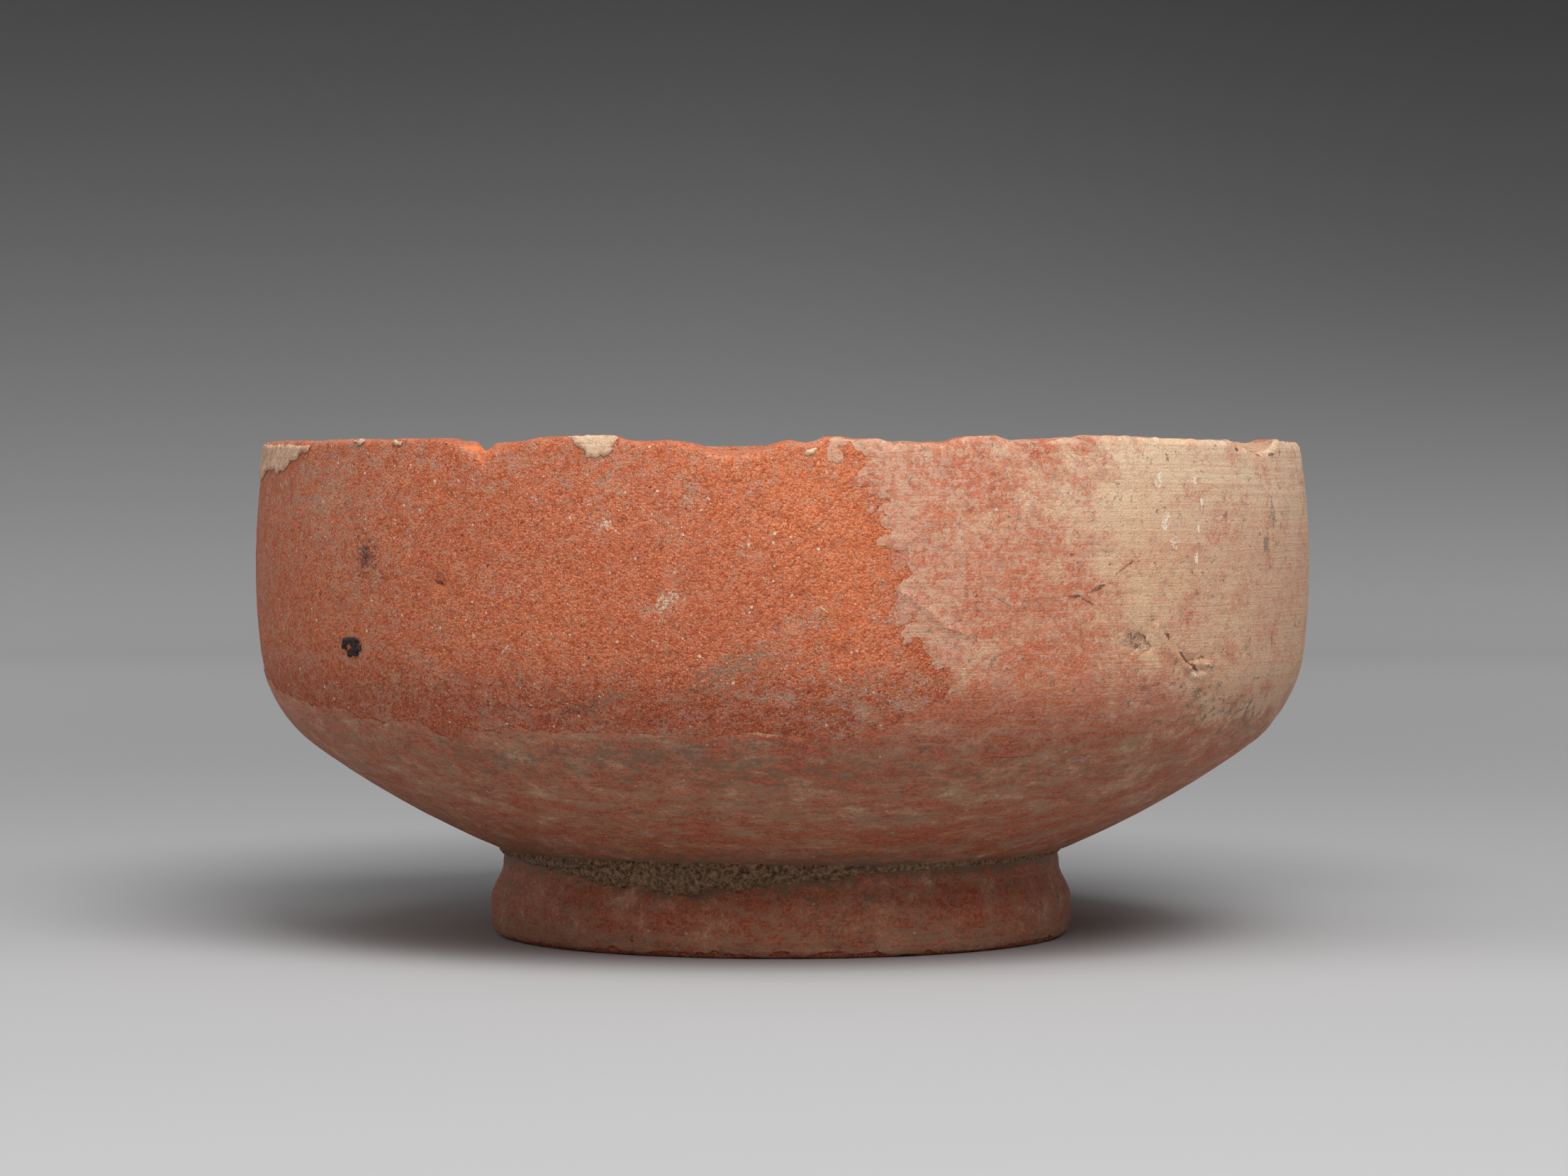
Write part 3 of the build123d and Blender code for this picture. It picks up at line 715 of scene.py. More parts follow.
# Luting slip.
# Liquid clay brushed on the scored top of the ring, which holds it to the bowl. It lies hidden in the
# joint, so its solid stays as it is, in a paler and smoother clay.
luting_finish, tree, place = new_finish("luting slip")
grain = use(tree, clay_grain, place=place)
colour = lay(tree, grain["Tone"], tint(170, 96, 68), tint(204, 132, 98))
close_finish(tree, colour, 0.9, grain["Height"], 0.08)
luting_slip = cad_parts["luting_slip"]
luting_slip.data.materials.clear()
luting_slip.data.materials.append(luting_finish)

# Outer slip coat.
# A coat of fine red slip, fired hard, up to a quarter of a millimetre thick. At the front it has come off
# in one large patch with a torn edge and is worn thin round it; what is left is dulled by a film of lime,
# red on the lower wall and cream at the right.
coat, coat_seat, coat_worn = 0.25, 0.03, 0.07
coat_over, flake_over = 0.2, 0.15  # how far the coat and the flakes reach over the rounded lip
lip_climb = wall_climbs[-1]


def lip_line(turn, climb):
    """Radius, height and normal of the clay's outside: the wall's line, and past the start of the rounded
    lip an arc of the rim's round, let down along the wall by the rim's break at that share of the way over
    the rim."""
    over = np.maximum(climb + rim_break(turn, 1.0) - lip_climb, 0) / rim_round
    radius, height, out, up = wall_line(np.where(over > 0, lip_climb, climb))
    angle = np.arctan2(up, out) + over
    radius = radius + rim_round * (np.cos(angle) - out)
    lip = 1 - np.clip((crest_out - radius) / (crest_out - crest_in), 0, 1)
    drop = rim_break(turn, lip) * (over > 0)
    radius = radius + drop * np.sin(rim_lean)
    height = height + rim_round * (np.sin(angle) - up) - drop * np.cos(rim_lean)
    return radius, height, np.cos(angle), np.sin(angle)


def torn_shell(name, line, turns, climbs, kept, thick, seat=coat_seat):
    """Closed skin on a turned line, cut off where the cover kept falls to nothing. The grid's triangles
    that the edge crosses are cut at the point where the cover, taken as linear along each side, is nothing.
    The outer side stands the thickness above the inner one along the normal, and the two meet in the edge.
    A full turn closes on itself."""
    turn, climb = (a.ravel() for a in np.meshgrid(turns, climbs))
    cover = kept(turn, climb)
    cover = np.where(np.abs(cover) < 1e-4, 1e-4, cover)
    index = np.arange(len(turn)).reshape(len(climbs), len(turns))
    if turns[-1] - turns[0] == 360:
        index[:, -1] = index[:, 0]
    corners = quads(index)
    sides = np.concatenate([corners[:, (0, 1, 2)], corners[:, (0, 2, 3)]])
    count = (cover[sides] > 0).sum(1)

    def rolled(chosen, wanted):
        """Triangles turned so that the corner which is kept, or not, as wanted comes first."""
        first = np.argmax((cover[chosen] > 0) == wanted, 1)
        return np.take_along_axis(chosen, (first[:, None] + (0, 1, 2)) % 3, 1)

    one, two = rolled(sides[count == 1], True), rolled(sides[count == 2], False)
    crossed = np.concatenate([one[:, (0, 1)], one[:, (0, 2)], two[:, (0, 1)], two[:, (0, 2)]])
    pairs, back = np.unique(np.sort(crossed, 1), axis=0, return_inverse=True)
    cuts = np.split(back.ravel() + len(turn), np.cumsum([len(one), len(one), len(two)]))
    triangles = np.concatenate([
        sides[count == 3], np.stack([one[:, 0], cuts[0], cuts[1]], 1),
        np.stack([cuts[2], two[:, 1], two[:, 2]], 1), np.stack([cuts[2], two[:, 2], cuts[3]], 1)])
    part = cover[pairs[:, 0]] / (cover[pairs[:, 0]] - cover[pairs[:, 1]])
    rise = np.append(thick(turn, climb, np.maximum(cover, 0)), np.zeros(len(pairs)))

    def with_cuts(values):
        """Values at the grid's points and then at the cuts, by the short way round."""
        start, end = values[pairs[:, 0]], values[pairs[:, 1]]
        return np.append(values, start + part * ((end - start + 180) % 360 - 180))

    turn, climb = with_cuts(turn), with_cuts(climb)
    used, triangles = np.unique(triangles, return_inverse=True)
    triangles = triangles.reshape(-1, 3)
    turn, climb, rise, edge = turn[used], climb[used], rise[used], used >= len(cover)
    radius, height, out, up = line(turn, climb)
    lower = around(turn, radius + seat * out, height + seat * up)
    upper = lower + around(turn, out, up) * rise[:, None]
    under = np.where(edge, np.arange(len(used)), len(used) + np.cumsum(~edge) - 1)
    both_sides = [triangles, under[triangles[:, ::-1]]]
    piece = put_mesh(name, np.concatenate([upper, lower[~edge]]), both_sides, sharp=60)
    return piece, np.append(turn, turn[~edge]), np.append(climb, climb[~edge])


pit_turn, pit_height, pit_radius = 38.8, 34.6, 0.8


def coat_kept(turn, climb):
    """Cover of the outer coat in mm: the gap to the lost patch, roughened, and no more than the gap to the
    worn strip at the rim, to the neck, to the pit and to a few small holes."""
    place = wall_place(turn, climb)
    rough = (0.5 * (nearest_grain(place, 1.6, 41)[1] - 0.5) + 0.4 * lattice_noise(place, 1.0, 42)
             + 0.25 * lattice_noise(place, 0.5, 40))
    lost = gap_to(patch, turn * degree, climb) + rough
    bare_strip = 0.04 + 0.14 * smooth(-np.abs(turn - 20), -20, -8) + 0.25 * smooth(np.abs(turn), 70, 100)
    bare_strip = bare_strip * (1 + 1.6 * lattice_noise(place, 1.3, 43))
    worn = rim_climb + coat_over - climb - rim_break(turn, 1.0) - bare_strip
    gap, kind = nearest_grain(place, 5.0, 44)
    hole = np.where(kind < 0.05, gap * 5 - 0.35 - 0.3 * lattice_noise(place, 0.5, 45), 1)
    pit = np.hypot((turn - pit_turn) * degree / 1.6, climb - climb_at(pit_height))
    pit = pit - pit_radius + 1.5 * rough
    return np.minimum.reduce([lost, worn, hole, pit, climb - 0.1])


# Scars in the coat, as turn and height from end to end: a crack, its branch, and a crease beside the torn
# edge. Each has a raised lip and a groove: rise, distance below the scar, and width.
scars = (
    ((41.8, 36.1), (43.2, 34.6), (45.5, 32.9), (47.7, 31.5), (49.3, 31.4)),
    ((46.7, 32.3), (48.1, 32.8), (50.2, 32.5)),
    ((11.7, 40.7), (13.5, 39.9), (15.3, 38.3), (16.9, 36.9), (19.0, 36.3)),
)
scar_lip, scar_groove = (0.26, 0.45, 0.35), (-0.2, -0.05, 0.28)


def below_scar(route, across, climb):
    """Distance to the nearest point of a route that runs to the right, positive below it."""
    best = 1e9
    for start, end in zip(route, route[1:]):
        run, rise = end - start
        gap = side_gap(across, climb, start, run, rise)
        side = np.where((climb - start[1]) * run > (across - start[0]) * rise, -1, 1)
        best = np.where(gap < np.abs(best), gap * side, best)
    return best


def coat_thick(turn, climb, cover):
    """Thickness of the coat: nothing at its edge, worn thin round the lost patch and full at the right and
    behind, with fine brush ridges, and at each scar a groove with a raised lip below it."""
    place = wall_place(turn, climb)
    thick = coat_worn + 0.15 * smooth(np.abs(turn + 48), 75, 100)
    ridges = 0.01 * lattice_noise(place * (0.1, 0.1, 1.4), 1.0, 46)
    thick = thick + ridges + 0.02 * lattice_noise(place, 1.6, 47)
    for scar in scars:
        gap = below_scar(on_wall(scar), turn * degree, climb)
        for rise, below, width in (scar_lip, scar_groove):
            thick = thick + rise * np.exp(-((gap - below) / width) ** 2)
    feather = 1.6 - 1.1 * np.maximum(smooth(place[..., 2], 27, 33), smooth(-turn, -10, -2))
    return np.maximum(thick, 0.012) * smooth(cover / feather, -0.05, 1)


coat_turns = np.concatenate([
    np.linspace(-180, -112, 31, endpoint=False), np.linspace(-112, 2, 150, endpoint=False),
    np.arange(2, 20, 0.28), np.linspace(20.1, 36, 22, endpoint=False), np.arange(36, 54, 0.3),
    np.linspace(54, 78, 27, endpoint=False), np.linspace(78, 180, 47)])
coat_climbs = np.concatenate([
    np.linspace(0, 26, 31, endpoint=False), np.arange(26, 36, 0.36),
    np.linspace(36, 46, 30, endpoint=False), np.linspace(46, rim_climb + rim_round, 33)])
outer_coat, turn, climb = torn_shell(
    "outer_slip_coat_torn", lip_line, coat_turns, coat_climbs, coat_kept, coat_thick)
place = wall_place(turn, climb)
height = place[..., 2]
upper = smooth(height, 27, 35)

# Stains on the coat: turn, height, half length, half width, tilt and strength.
cream_patches = (
    (40, 47.5, 8, 7.5, 0, 0.45), (24.5, 42.3, 1.6, 1.6, 0, 0.5), (35.5, 42.5, 3, 2.5, 0, 0.55),
    (20.2, 34.2, 1.6, 1.2, 0, 0.6), (38, 37, 4, 2, 0, 0.5),
)
red_patches = (
    (30, 37, 9, 6, 0, 0.8), (24, 46, 5, 4, 0, 0.2), (14, 46, 4, 6, 0, 0.2), (24, 51, 5, 3, 0, 0.2),
    (0, 13, 40, 2.5, 0, 0.45), (-28, 14, 12, 2.5, 0, 0.4), (24, 14, 14, 2.5, 0, 0.4),
    (20, 28.5, 9, 3, 0, 0.7), (9, 27.5, 5, 2, 0, 0.6), (-10, 21, 14, 1.2, 3, 0.4),
    (-25, 19.5, 8, 2.5, 0, 0.4), (60, 24, 8, 2.5, 0, 0.6),
)
dark_patches = (
    (-39.3, 24, 1.6, 0.6, 0, 0.6), (-33.2, 22.6, 2.2, 1.4, 20, 0.6), (-36.5, 20.7, 1.8, 0.8, 15, 0.6),
    (-41, 18.5, 2.0, 1.2, 30, 0.55), (-9.5, 24.4, 1.6, 1.3, 0, 0.55), (-1.4, 24.6, 3.4, 0.9, 0, 0.5),
    (8.8, 21.4, 1.0, 1.6, 0, 0.5), (14.9, 19.3, 1.0, 0.4, 0, 0.55), (-23.8, 20.7, 1.2, 1.2, 0, 0.5),
    (36, 22, 4, 1.5, 0, 0.35), (44, 21, 3, 1.5, 20, 0.3), (12, 15.8, 4, 0.6, -8, 0.35),
    (-20, 23, 9, 1, 0, 0.3), (-13, 16.8, 8, 1.2, 0, 0.3),
)
dust_patches = (
    (50, 28, 8, 2.6, -12, 0.35), (40, 30, 6, 2, -10, 0.25), (62, 26, 8, 3.4, -5, 0.42),
    (-35, 22, 14, 3, 0, 0.5), (-15, 23.3, 12, 2.2, 0, 0.6), (-2, 21, 14, 3.5, 0, 0.5),
    (30, 21, 18, 4, 0, 0.4), (-60, 24, 12, 3, 0, 0.3),
)
worn_patches = (
    (18, 31, 7, 4, 0, 0.5), (11, 28, 8, 3, 0, 0.6), (33, 36, 7, 5, 0, 0.3), (14, 42, 3, 9, 0, 0.2),
)
thin_patches = ((50, 40, 7, 5, 0, 0.1), (44, 41, 4, 3, 0, 0.08), (58, 37, 5, 4, 0, 0.08))
limed_patches = ((31, 47, 6, 7, 0, 1.0),)
cream, red, dark, dust, worn, thinner, limed = (blots(turn, climb, patches) for patches in (
    cream_patches, red_patches, dark_patches, dust_patches, worn_patches, thin_patches, limed_patches))
gap = gap_to(patch, turn * degree, climb)
by_edge = 1 - smooth(gap, 0.0, 7.0)
crisp = smooth(lattice_noise(place, 3.0, 48), -0.4, 0.2) * np.maximum(upper, smooth(-turn, -10, -2))
faded = (1 - smooth(gap, 0.1, 2.2)) * (1 - 0.8 * crisp)
wander = 5 * lattice_noise(place, 8, 50) + 4.5 * lattice_noise(place, 3.5, 53)
wander = wander + np.interp(height, (30, 38, 43, 48, 52, 56), (-3, -3, 0, 4, 1, -1))
right = smooth(turn + wander, 25, 49) * smooth(-turn, -150, -100)
by_shoulder = smooth(height + 6 * smooth(turn, 35, 55), 27, 35)
far_right = smooth(turn + wander, 39, 56) * smooth(-turn, -160, -100) * smooth(height, 20, 30)
film_cover = (0.46 + 0.14 * upper + 0.3 * by_edge * upper - 0.35 * red + 0.3 * limed
              - 0.05 * (1 - upper) - 0.3 * faded)
soiled = 0.45 + 0.55 * smooth(-np.abs(turn + 15), -55, -30)
soiled = soiled * (0.75 * smooth(-climb, -11.0, 0.5) + 0.6 * smooth(-climb, -2.6, -0.6))
give(outer_coat, "cream", np.clip(by_shoulder * right - thinner + cream, 0, 1))
give(outer_coat, "tan", np.clip(far_right + 0.35 * smooth(np.abs(turn), 110, 160), 0, 1))
give(outer_coat, "film", np.clip(film_cover, 0.05, 1))
give(outer_coat, "worn", np.clip(worn + faded, 0, 1))
give(outer_coat, "dark", dark)
give(outer_coat, "dust", np.clip(soiled + dust, 0, 1))


def slip_finish(name, marks=(), veil_tint=tint(208, 166, 140), veil_size=5.0, veil_share=0.75,
                lower=(31, 23)):
    """Material of the fired slip: red, lined by the wheel, then worn spots of clay, a broad and a fine film
    of lime, cream and tan where the film is thick, grey flecks, dark stains, soil dust, grit with its
    pinholes painted dark as shade, and marks, each laid over what is under it. On the lower wall and the
    foot, between the two levels of lower, it darkens as painted shade of the wall that faces down and the
    foot under it, and the films are drawn out by the wheel."""
    made, tree, place = new_finish(name)
    lines = use(tree, wheel_lines, place=place, pitch=0.3)["Lines"]
    grain, grains = use(tree, clay_grain, place=place), use(tree, grit, place=place, share=0.14)
    kind = grain["Kind"]
    level = node(tree, "SeparateXYZ", {0: place}).outputs[2]
    low = ramp(tree, level, *lower)
    streak = calc(tree, "MULTIPLY_ADD", low, 1.2, 1.3)
    mixed = calc(tree, "MULTIPLY_ADD", lines, 0.5, calc(tree, "MULTIPLY", grain["Tone"], 0.5))
    mixed = ramp(tree, mixed, 0.2, 0.8)
    lined = ramp(tree, lines, 0.44, 0.62)
    filmed = stain(tree, "film")
    film_mask = veil(tree, place, filmed, veil_size, streak, calc(tree, "MULTIPLY_ADD", low, -0.15, 0.24))
    film_share = calc(tree, "MULTIPLY", calc(tree, "MULTIPLY_ADD", low, 0.25, 0.35), veil_share)
    patchy = calc(tree, "MULTIPLY", film_mask, calc(tree, "MULTIPLY_ADD", low, 0.5, 0.25))
    density = calc(tree, "MULTIPLY_ADD", filmed, calc(tree, "MULTIPLY_ADD", low, -0.5, 0.7), patchy)
    # painted shade: the film is darker on the lower wall and the foot
    pale = paint(tree, lay(tree, low, veil_tint, tint(160, 125, 99)), (lined, 0.4, tint(178, 136, 108)))
    thick = paint(
        tree, lay(tree, stain(tree, "tan"), tint(222, 188, 150), tint(210, 175, 144)),
        (veil(tree, place, 0.5, 7.0, 1.6, 0.1), 0.5, tint(214, 176, 148)),
        (grains_of(tree, place, kind, 0.45, 2.2, 1.6, 0.12), 0.55, tint(204, 156, 126)),
        (ramp(tree, level, 43, 54), 0.6, tint(238, 214, 180)),
        (lined, 0.3, tint(182, 136, 104)))
    cream = use(tree, film, place=place, cover=stain(tree, "cream"), size=4.5, streak=1.3, soft=0.22,
                kind=kind)
    worn, dark, dust = (grains_of(tree, place, kind, stain(tree, name), *more) for name, *more in (
        ("worn", 1.4, 1.3, 0.1), ("dark", 1.0, 1.6, 0.1), ("dust", 1.5, 1.2, 0.12)))
    colour = paint(
        tree, lay(tree, mixed, tint(164, 80, 54), tint(212, 120, 84)),
        # painted shade: darker red on the lower wall and the foot
        (low, 0.6, lay(tree, mixed, tint(122, 58, 40), tint(182, 100, 70))),
        (worn, 0.9, lay(tree, grain["Tone"], tint(150, 66, 38), tint(210, 120, 84))),
        (film_mask, film_share, pale),
        (grains_of(tree, place, kind, density, 0.9, streak, 0.13), veil_share, pale),
        (cream["Mask"], 0.55, thick),
        (cream["Grains"], 0.75, thick),
        (grains_of(tree, place, kind, 0.22, 1.1, streak, 0.07), 0.35, tint(144, 124, 110)),
        (dark, 0.7, tint(104, 90, 80)),
        (dust, 0.85, tint(126, 103, 82)),
        # painted shade in the pinholes
        (grains["Pits"], 0.6, tint(92, 54, 40)),
        (grains["Pale"], 0.5, tint(228, 206, 182)))
    colour = draw_marks(tree, place, raggedness(tree, place), kind, colour, marks)
    height = calc(tree, "MULTIPLY_ADD", lines, 0.4, calc(tree, "MULTIPLY", grain["Height"], 0.6))
    height = calc(tree, "SUBTRACT", height, calc(tree, "MULTIPLY", grains["Pits"], 0.3))
    close_finish(tree, colour, calc(tree, "MULTIPLY_ADD", film_mask, 0.22, 0.64), height, 0.16)
    return made


# Single marks on the coat, as on the bare wall. The last of these tints is painted shadow, for the shaded
# lines of cracks and of the scoop in the rim.
rust, lime, ash, dim = tint(150, 62, 38), tint(238, 224, 204), tint(128, 114, 104), tint(98, 76, 60)
coat_marks = (
    # painted shadow along the lines of a V of cracks
    (30.6, 39.6, 0.9, 0.18, 0, 0.7, 0.45, dim), (33.4, 40.4, 2.2, 0.2, 19, 0.7, 0.5, dim),
    (36.4, 42.3, 2.2, 0.18, 30, 0.6, 0.5, dim), (32.4, 38.9, 1.6, 0.17, -24, 0.65, 0.45, dim),
    (22.8, 38.9, 1.9, 0.13, -28, 0.6, 0.2, ash), (26.4, 38.4, 0.8, 0.12, 55, 0.6, 0.2, ash),
    # painted shade in the pit, then painted shadow along the crack and its branch, with a painted highlight
    # on the lip just below it at 47.9
    (38.7, 34.6, 1.0, 0.55, -20, 0.8, 0.6, tint(62, 46, 34)), (43.2, 35.0, 1.6, 0.26, -52, 0.7, 0.5, dim),
    (45.4, 33.2, 1.6, 0.26, -40, 0.75, 0.5, dim),
    (47.4, 31.85, 1.4, 0.28, -25, 0.85, 0.4, tint(88, 64, 48)), (48.6, 32.8, 1.5, 0.22, 4, 0.65, 0.5, dim),
    (47.9, 31.0, 1.5, 0.25, -16, 0.6, 0.5, lime), (48.3, 49.2, 0.8, 0.45, 90, 0.8, 0.6, lime),
    (47.5, 46.1, 1.3, 0.5, 92, 0.9, 0.6, lime), (47.1, 43.5, 0.7, 0.4, 90, 0.8, 0.6, lime),
    (47.6, 51.6, 0.7, 0.4, 90, 0.7, 0.6, lime), (42.5, 47.6, 1.2, 0.5, 90, 0.5, 0.8, lime),
    (43.6, 44.7, 1.1, 0.6, 90, 0.5, 0.8, lime), (42.0, 51.2, 1.0, 0.4, 90, 0.45, 0.8, lime),
    (53.1, 47.3, 0.4, 0.25, 90, 0.4, 0.5, lime), (63.4, 47.8, 2.0, 1.0, 90, 0.6, 0.6, ash),
    (61.3, 44.9, 1.6, 1.0, 88, 0.65, 0.6, ash), (56.1, 54.9, 0.35, 0.28, 0, 0.9, 0.3, soot),
    (19.6, 37.4, 2.2, 0.3, 90, 0.4, 0.8, rust), (30.3, 43.9, 0.4, 0.35, 0, 0.7, 0.4, rust),
    (13.8, 16.1, 2.8, 0.35, -14, 0.45, 0.9, ash), (19.9, 16.2, 2.4, 0.35, 16, 0.45, 0.9, ash),
    (24.4, 22.8, 5.8, 0.16, 0, 0.6, 0.8, rust), (48.2, 24.2, 1.7, 0.14, 62, 0.5, 0.5, ash),
    # from the mark at 60.2 on: painted shadow under the lip of the scoop in the rim
    (52.1, 24.0, 0.45, 0.16, 40, 0.6, 0.3, lime), (60.2, 54.8, 2.2, 0.22, -22, 0.75, 0.35, dim),
    (65.2, 54.4, 2.2, 0.2, 3, 0.75, 0.35, dim), (67.6, 54.9, 0.8, 0.3, 70, 0.6, 0.35, dim),
    # painted highlight along the lit lower edge of the torn coat, to the end of the list
    (-27.4, 25.8, 0.8, 0.2, 8, 0.6, 0.6, lit_edge), (-13.7, 25.3, 0.8, 0.16, 0, 0.6, 0.6, lit_edge),
    (-9.2, 25.5, 0.7, 0.16, 0, 0.6, 0.6, lit_edge), (-1.6, 25.5, 1.6, 0.22, -5, 0.6, 0.7, tint(226, 172, 130)),
    (1.8, 25.0, 0.6, 0.2, 0, 0.6, 0.6, lit_edge), (4.1, 25.7, 0.7, 0.2, 10, 0.6, 0.6, lit_edge),
)
outer_coat.data.materials.append(slip_finish("red slip, outside", coat_marks))
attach(outer_coat, "root")
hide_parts("outer_slip_coat")

# Slip flakes.
# Islands of the coat that still hold on the bare wall by the rim, pale with lime, each with its own torn
# edge.
flake_outlines = (
    ((-86, 55.6), (-60.3, 55.4), (-60.6, 54.7), (-62.4, 54.6), (-63.6, 53.9), (-65.6, 53.8), (-66.6, 52.7),
     (-69.5, 52.4), (-71, 53), (-75, 52.7), (-79, 51.6), (-86, 52.6)),
    ((-51.3, 56), (-49.1, 56), (-48.9, 55.8), (-49.9, 55.3), (-51, 55.7)),
    ((-44.7, 55.9), (-42.9, 55.7), (-43.1, 55.2), (-43.8, 55.1), (-44.5, 55.6)),
    ((-22.3, 56.4), (-16.6, 56.4), (-17, 55.4), (-17.3, 54.4), (-18.8, 53.8), (-20, 54.1), (-20.3, 54.9),
     (-21.2, 55.4)),
    ((2.4, 54.8), (3.5, 54.8), (3.4, 54.3), (2.6, 54.1)),
)
flake_shapes = [on_wall(outline) for outline in flake_outlines]


def flakes_kept(turn, climb):
    """Cover of the flakes: how far inside the nearest outline, roughened, and below the broken rim."""
    place = wall_place(turn, climb)
    inside = np.max([-gap_to(shape, turn * degree, climb) for shape in flake_shapes], 0)
    rough = 0.3 * (nearest_grain(place, 0.8, 51)[1] - 0.5) + 0.12 * lattice_noise(place, 0.4, 52)
    return np.minimum(inside + rough, rim_climb + flake_over - climb - rim_break(turn, 1.0))


flakes, turn, climb = torn_shell(
    "slip_flakes_torn", lip_line, np.arange(-88, 6, 0.22),
    np.arange(climb_at(51.6), rim_climb + rim_round, 0.16), flakes_kept,
    lambda turn, climb, cover: 0.18 * smooth(cover, -0.05, 0.25))
for name, amount in (("cream", np.where(turn < -55, 0.55, 0.9)), ("tan", 0.5), ("film", 0.95)):
    give(flakes, name, np.full(len(turn), amount))
flakes.data.materials.append(slip_finish("slip flakes", veil_tint=tint(208, 168, 140)))
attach(flakes, "root")
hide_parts("slip_flakes")

# Inner slip coat.
# The same slip poured inside and drained, so it is even and lies from the floor to just under the rim.
# Faint rings from the throwing show through it. The photograph hides it, so it is kept plain.
inner_turns = np.linspace(-180, 180, 300, endpoint=False)
inner_top = inside_end - 0.3
inner_runs = np.concatenate([np.linspace(1.5, inner_top - 6, 66),
                             np.linspace(inner_top - 5.4, inner_top, 12)])
edge_share = smooth(inner_runs, inner_top - 6, inner_top)[:, None]
inner_place = around(inner_turns[None], 53.0, rim_height)
edge_drop = rim_break(inner_turns[None], 0.0) + 0.35 + 0.3 * lattice_noise(inner_place, 2.2, 61)
runs = inner_runs[:, None] - edge_share * edge_drop
radius, height, into, up = inside_line(runs)
rings = 0.035 * np.sin(inner_runs * 1.7 + 1.2 * np.sin(inner_runs * 0.31))[:, None] * (1 - edge_share)
below = around(inner_turns[None], radius + coat_seat * into, height + coat_seat * up)
thick = (coat + rings) * (1 - 0.85 * smooth(inner_runs, inner_top - 0.4, inner_top))[:, None]
above = below + around(inner_turns[None], into, up) * thick[..., None]
inner_coat = turned_skin("inner_slip_coat_drained", np.concatenate([below, above[::-1]]),
                         [(0, 0, floor_level + coat_seat), (0, 0, floor_level + coat_seat + coat)])
level = np.append(np.concatenate([height, height[::-1]]), (floor_level, floor_level))
give(inner_coat, "film", 0.35 + 0.25 * (1 - smooth(level, 13, 26)))
give(inner_coat, "worn", 0.5 * smooth(level, 50, 55.5))
give(inner_coat, "tan", 0.5 * (1 - smooth(level, 12.5, 17)))
give(inner_coat, "dark", 0.3 * (1 - smooth(level, 12.5, 15)))
inside_finish = slip_finish("red slip, inside", veil_size=7.0, veil_share=0.6, lower=(1, 0))
inner_coat.data.materials.append(inside_finish)
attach(inner_coat, "root")
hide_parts("inner_slip_coat")

# Foot slip coat.
# The slip over the outside of the foot. It has rubbed off along the chipped lower edge, and a beige film
# clings to the bulge in patches.
foot_bare, foot_low, foot_top = 0.5, 0.35, 9.6

# How far down the foot the soil in the groove reaches, as turn and mm.
soil_low = (
    (-100, 0.1), (-85, 0.4), (-70, 0.5), (-55, 0.9), (-45, 1.4), (-38, 1.8), (-30, 2.2), (-24, 2.5),
    (-20, 2.9), (-16, 3.0), (-12, 2.3), (-5, 1.9), (0, 1.8), (6, 1.5), (12, 1.0), (16.4, 0.6), (22, 0.45),
    (35, 0.4), (60, 0.3), (85, 0.2), (100, 0.1),
)


def foot_place(turn, climb):
    """Point on the outside of the foot at a turn and a climb."""
    return around(turn, *foot_line(climb)[:2])


def foot_kept(turn, climb):
    """Cover of the foot's coat: the height above the worn lower edge, roughened, and below the joint."""
    place = foot_place(turn, climb)
    rough = 0.45 * lattice_noise(place, 2.3, 71) + 0.3 * lattice_noise(place, 0.8, 72)
    gap, kind = nearest_grain(place * (1, 1, 0.8), 3.1, 73)
    chip = np.where(kind < 0.2, gap * 3.1 - 0.6, 1.5) + 0.5 * np.maximum(climb - 1.0, 0) + rough
    return np.minimum.reduce([climb - foot_bare + rough, chip, climb - foot_low, foot_top - climb])


def foot_thick(turn, climb, cover):
    """Thickness of the foot's coat: nothing at its edge, full a little way in, with slow waves."""
    place = foot_place(turn, climb)
    return (0.2 + 0.03 * lattice_noise(place, 1.5, 74)) * smooth(cover, -0.05, 1.4)


foot_coat_turns = np.concatenate([
    np.linspace(-180, -95, 60, endpoint=False), np.arange(-95, 95, 0.7), np.linspace(95, 180, 60)])
foot_coat, turn, climb = torn_shell(
    "foot_slip_coat_worn", lambda turn, climb: foot_line(climb), foot_coat_turns, np.linspace(0.3, 9.7, 30),
    foot_kept, foot_thick)
place = foot_place(turn, climb)
film_cover = 0.3 + 0.4 * smooth(-climb, -4.2, -1.5) + 0.25 * lattice_noise(place, 5, 75)
give(foot_coat, "film", np.clip(film_cover, 0.05, 0.9))
below_soil = neck_height - np.interp(turn, *np.array(soil_low).T) - climb
give(foot_coat, "dust", np.clip(0.9 * smooth(-below_soil, -1.6, 0.2) + 0.1 * smooth(climb, 4.0, 8.0)
                                + 0.3 * smooth(lattice_noise(place, 3, 76), 0, 0.8), 0, 1))
give(foot_coat, "dark", 0.1 * smooth(lattice_noise(place, 3, 77), 0, 0.8))
give(foot_coat, "worn", np.full(len(turn), 0.12))
foot_coat.data.materials.append(slip_finish("red slip, foot", veil_size=2.4, veil_share=0.6))
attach(foot_coat, "root")
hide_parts("foot_slip_coat")

# Recess slip coat.
# The slip under the floor, inside the foot. It is a plain disc, so its solid stays as it is, in the slip's
# material.
recess_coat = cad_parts["recess_slip_coat"]
recess_finish = slip_finish("red slip, underneath", veil_size=6.0, veil_share=0.5, lower=(1, 0))
recess_coat.data.materials.clear()
recess_coat.data.materials.append(recess_finish)

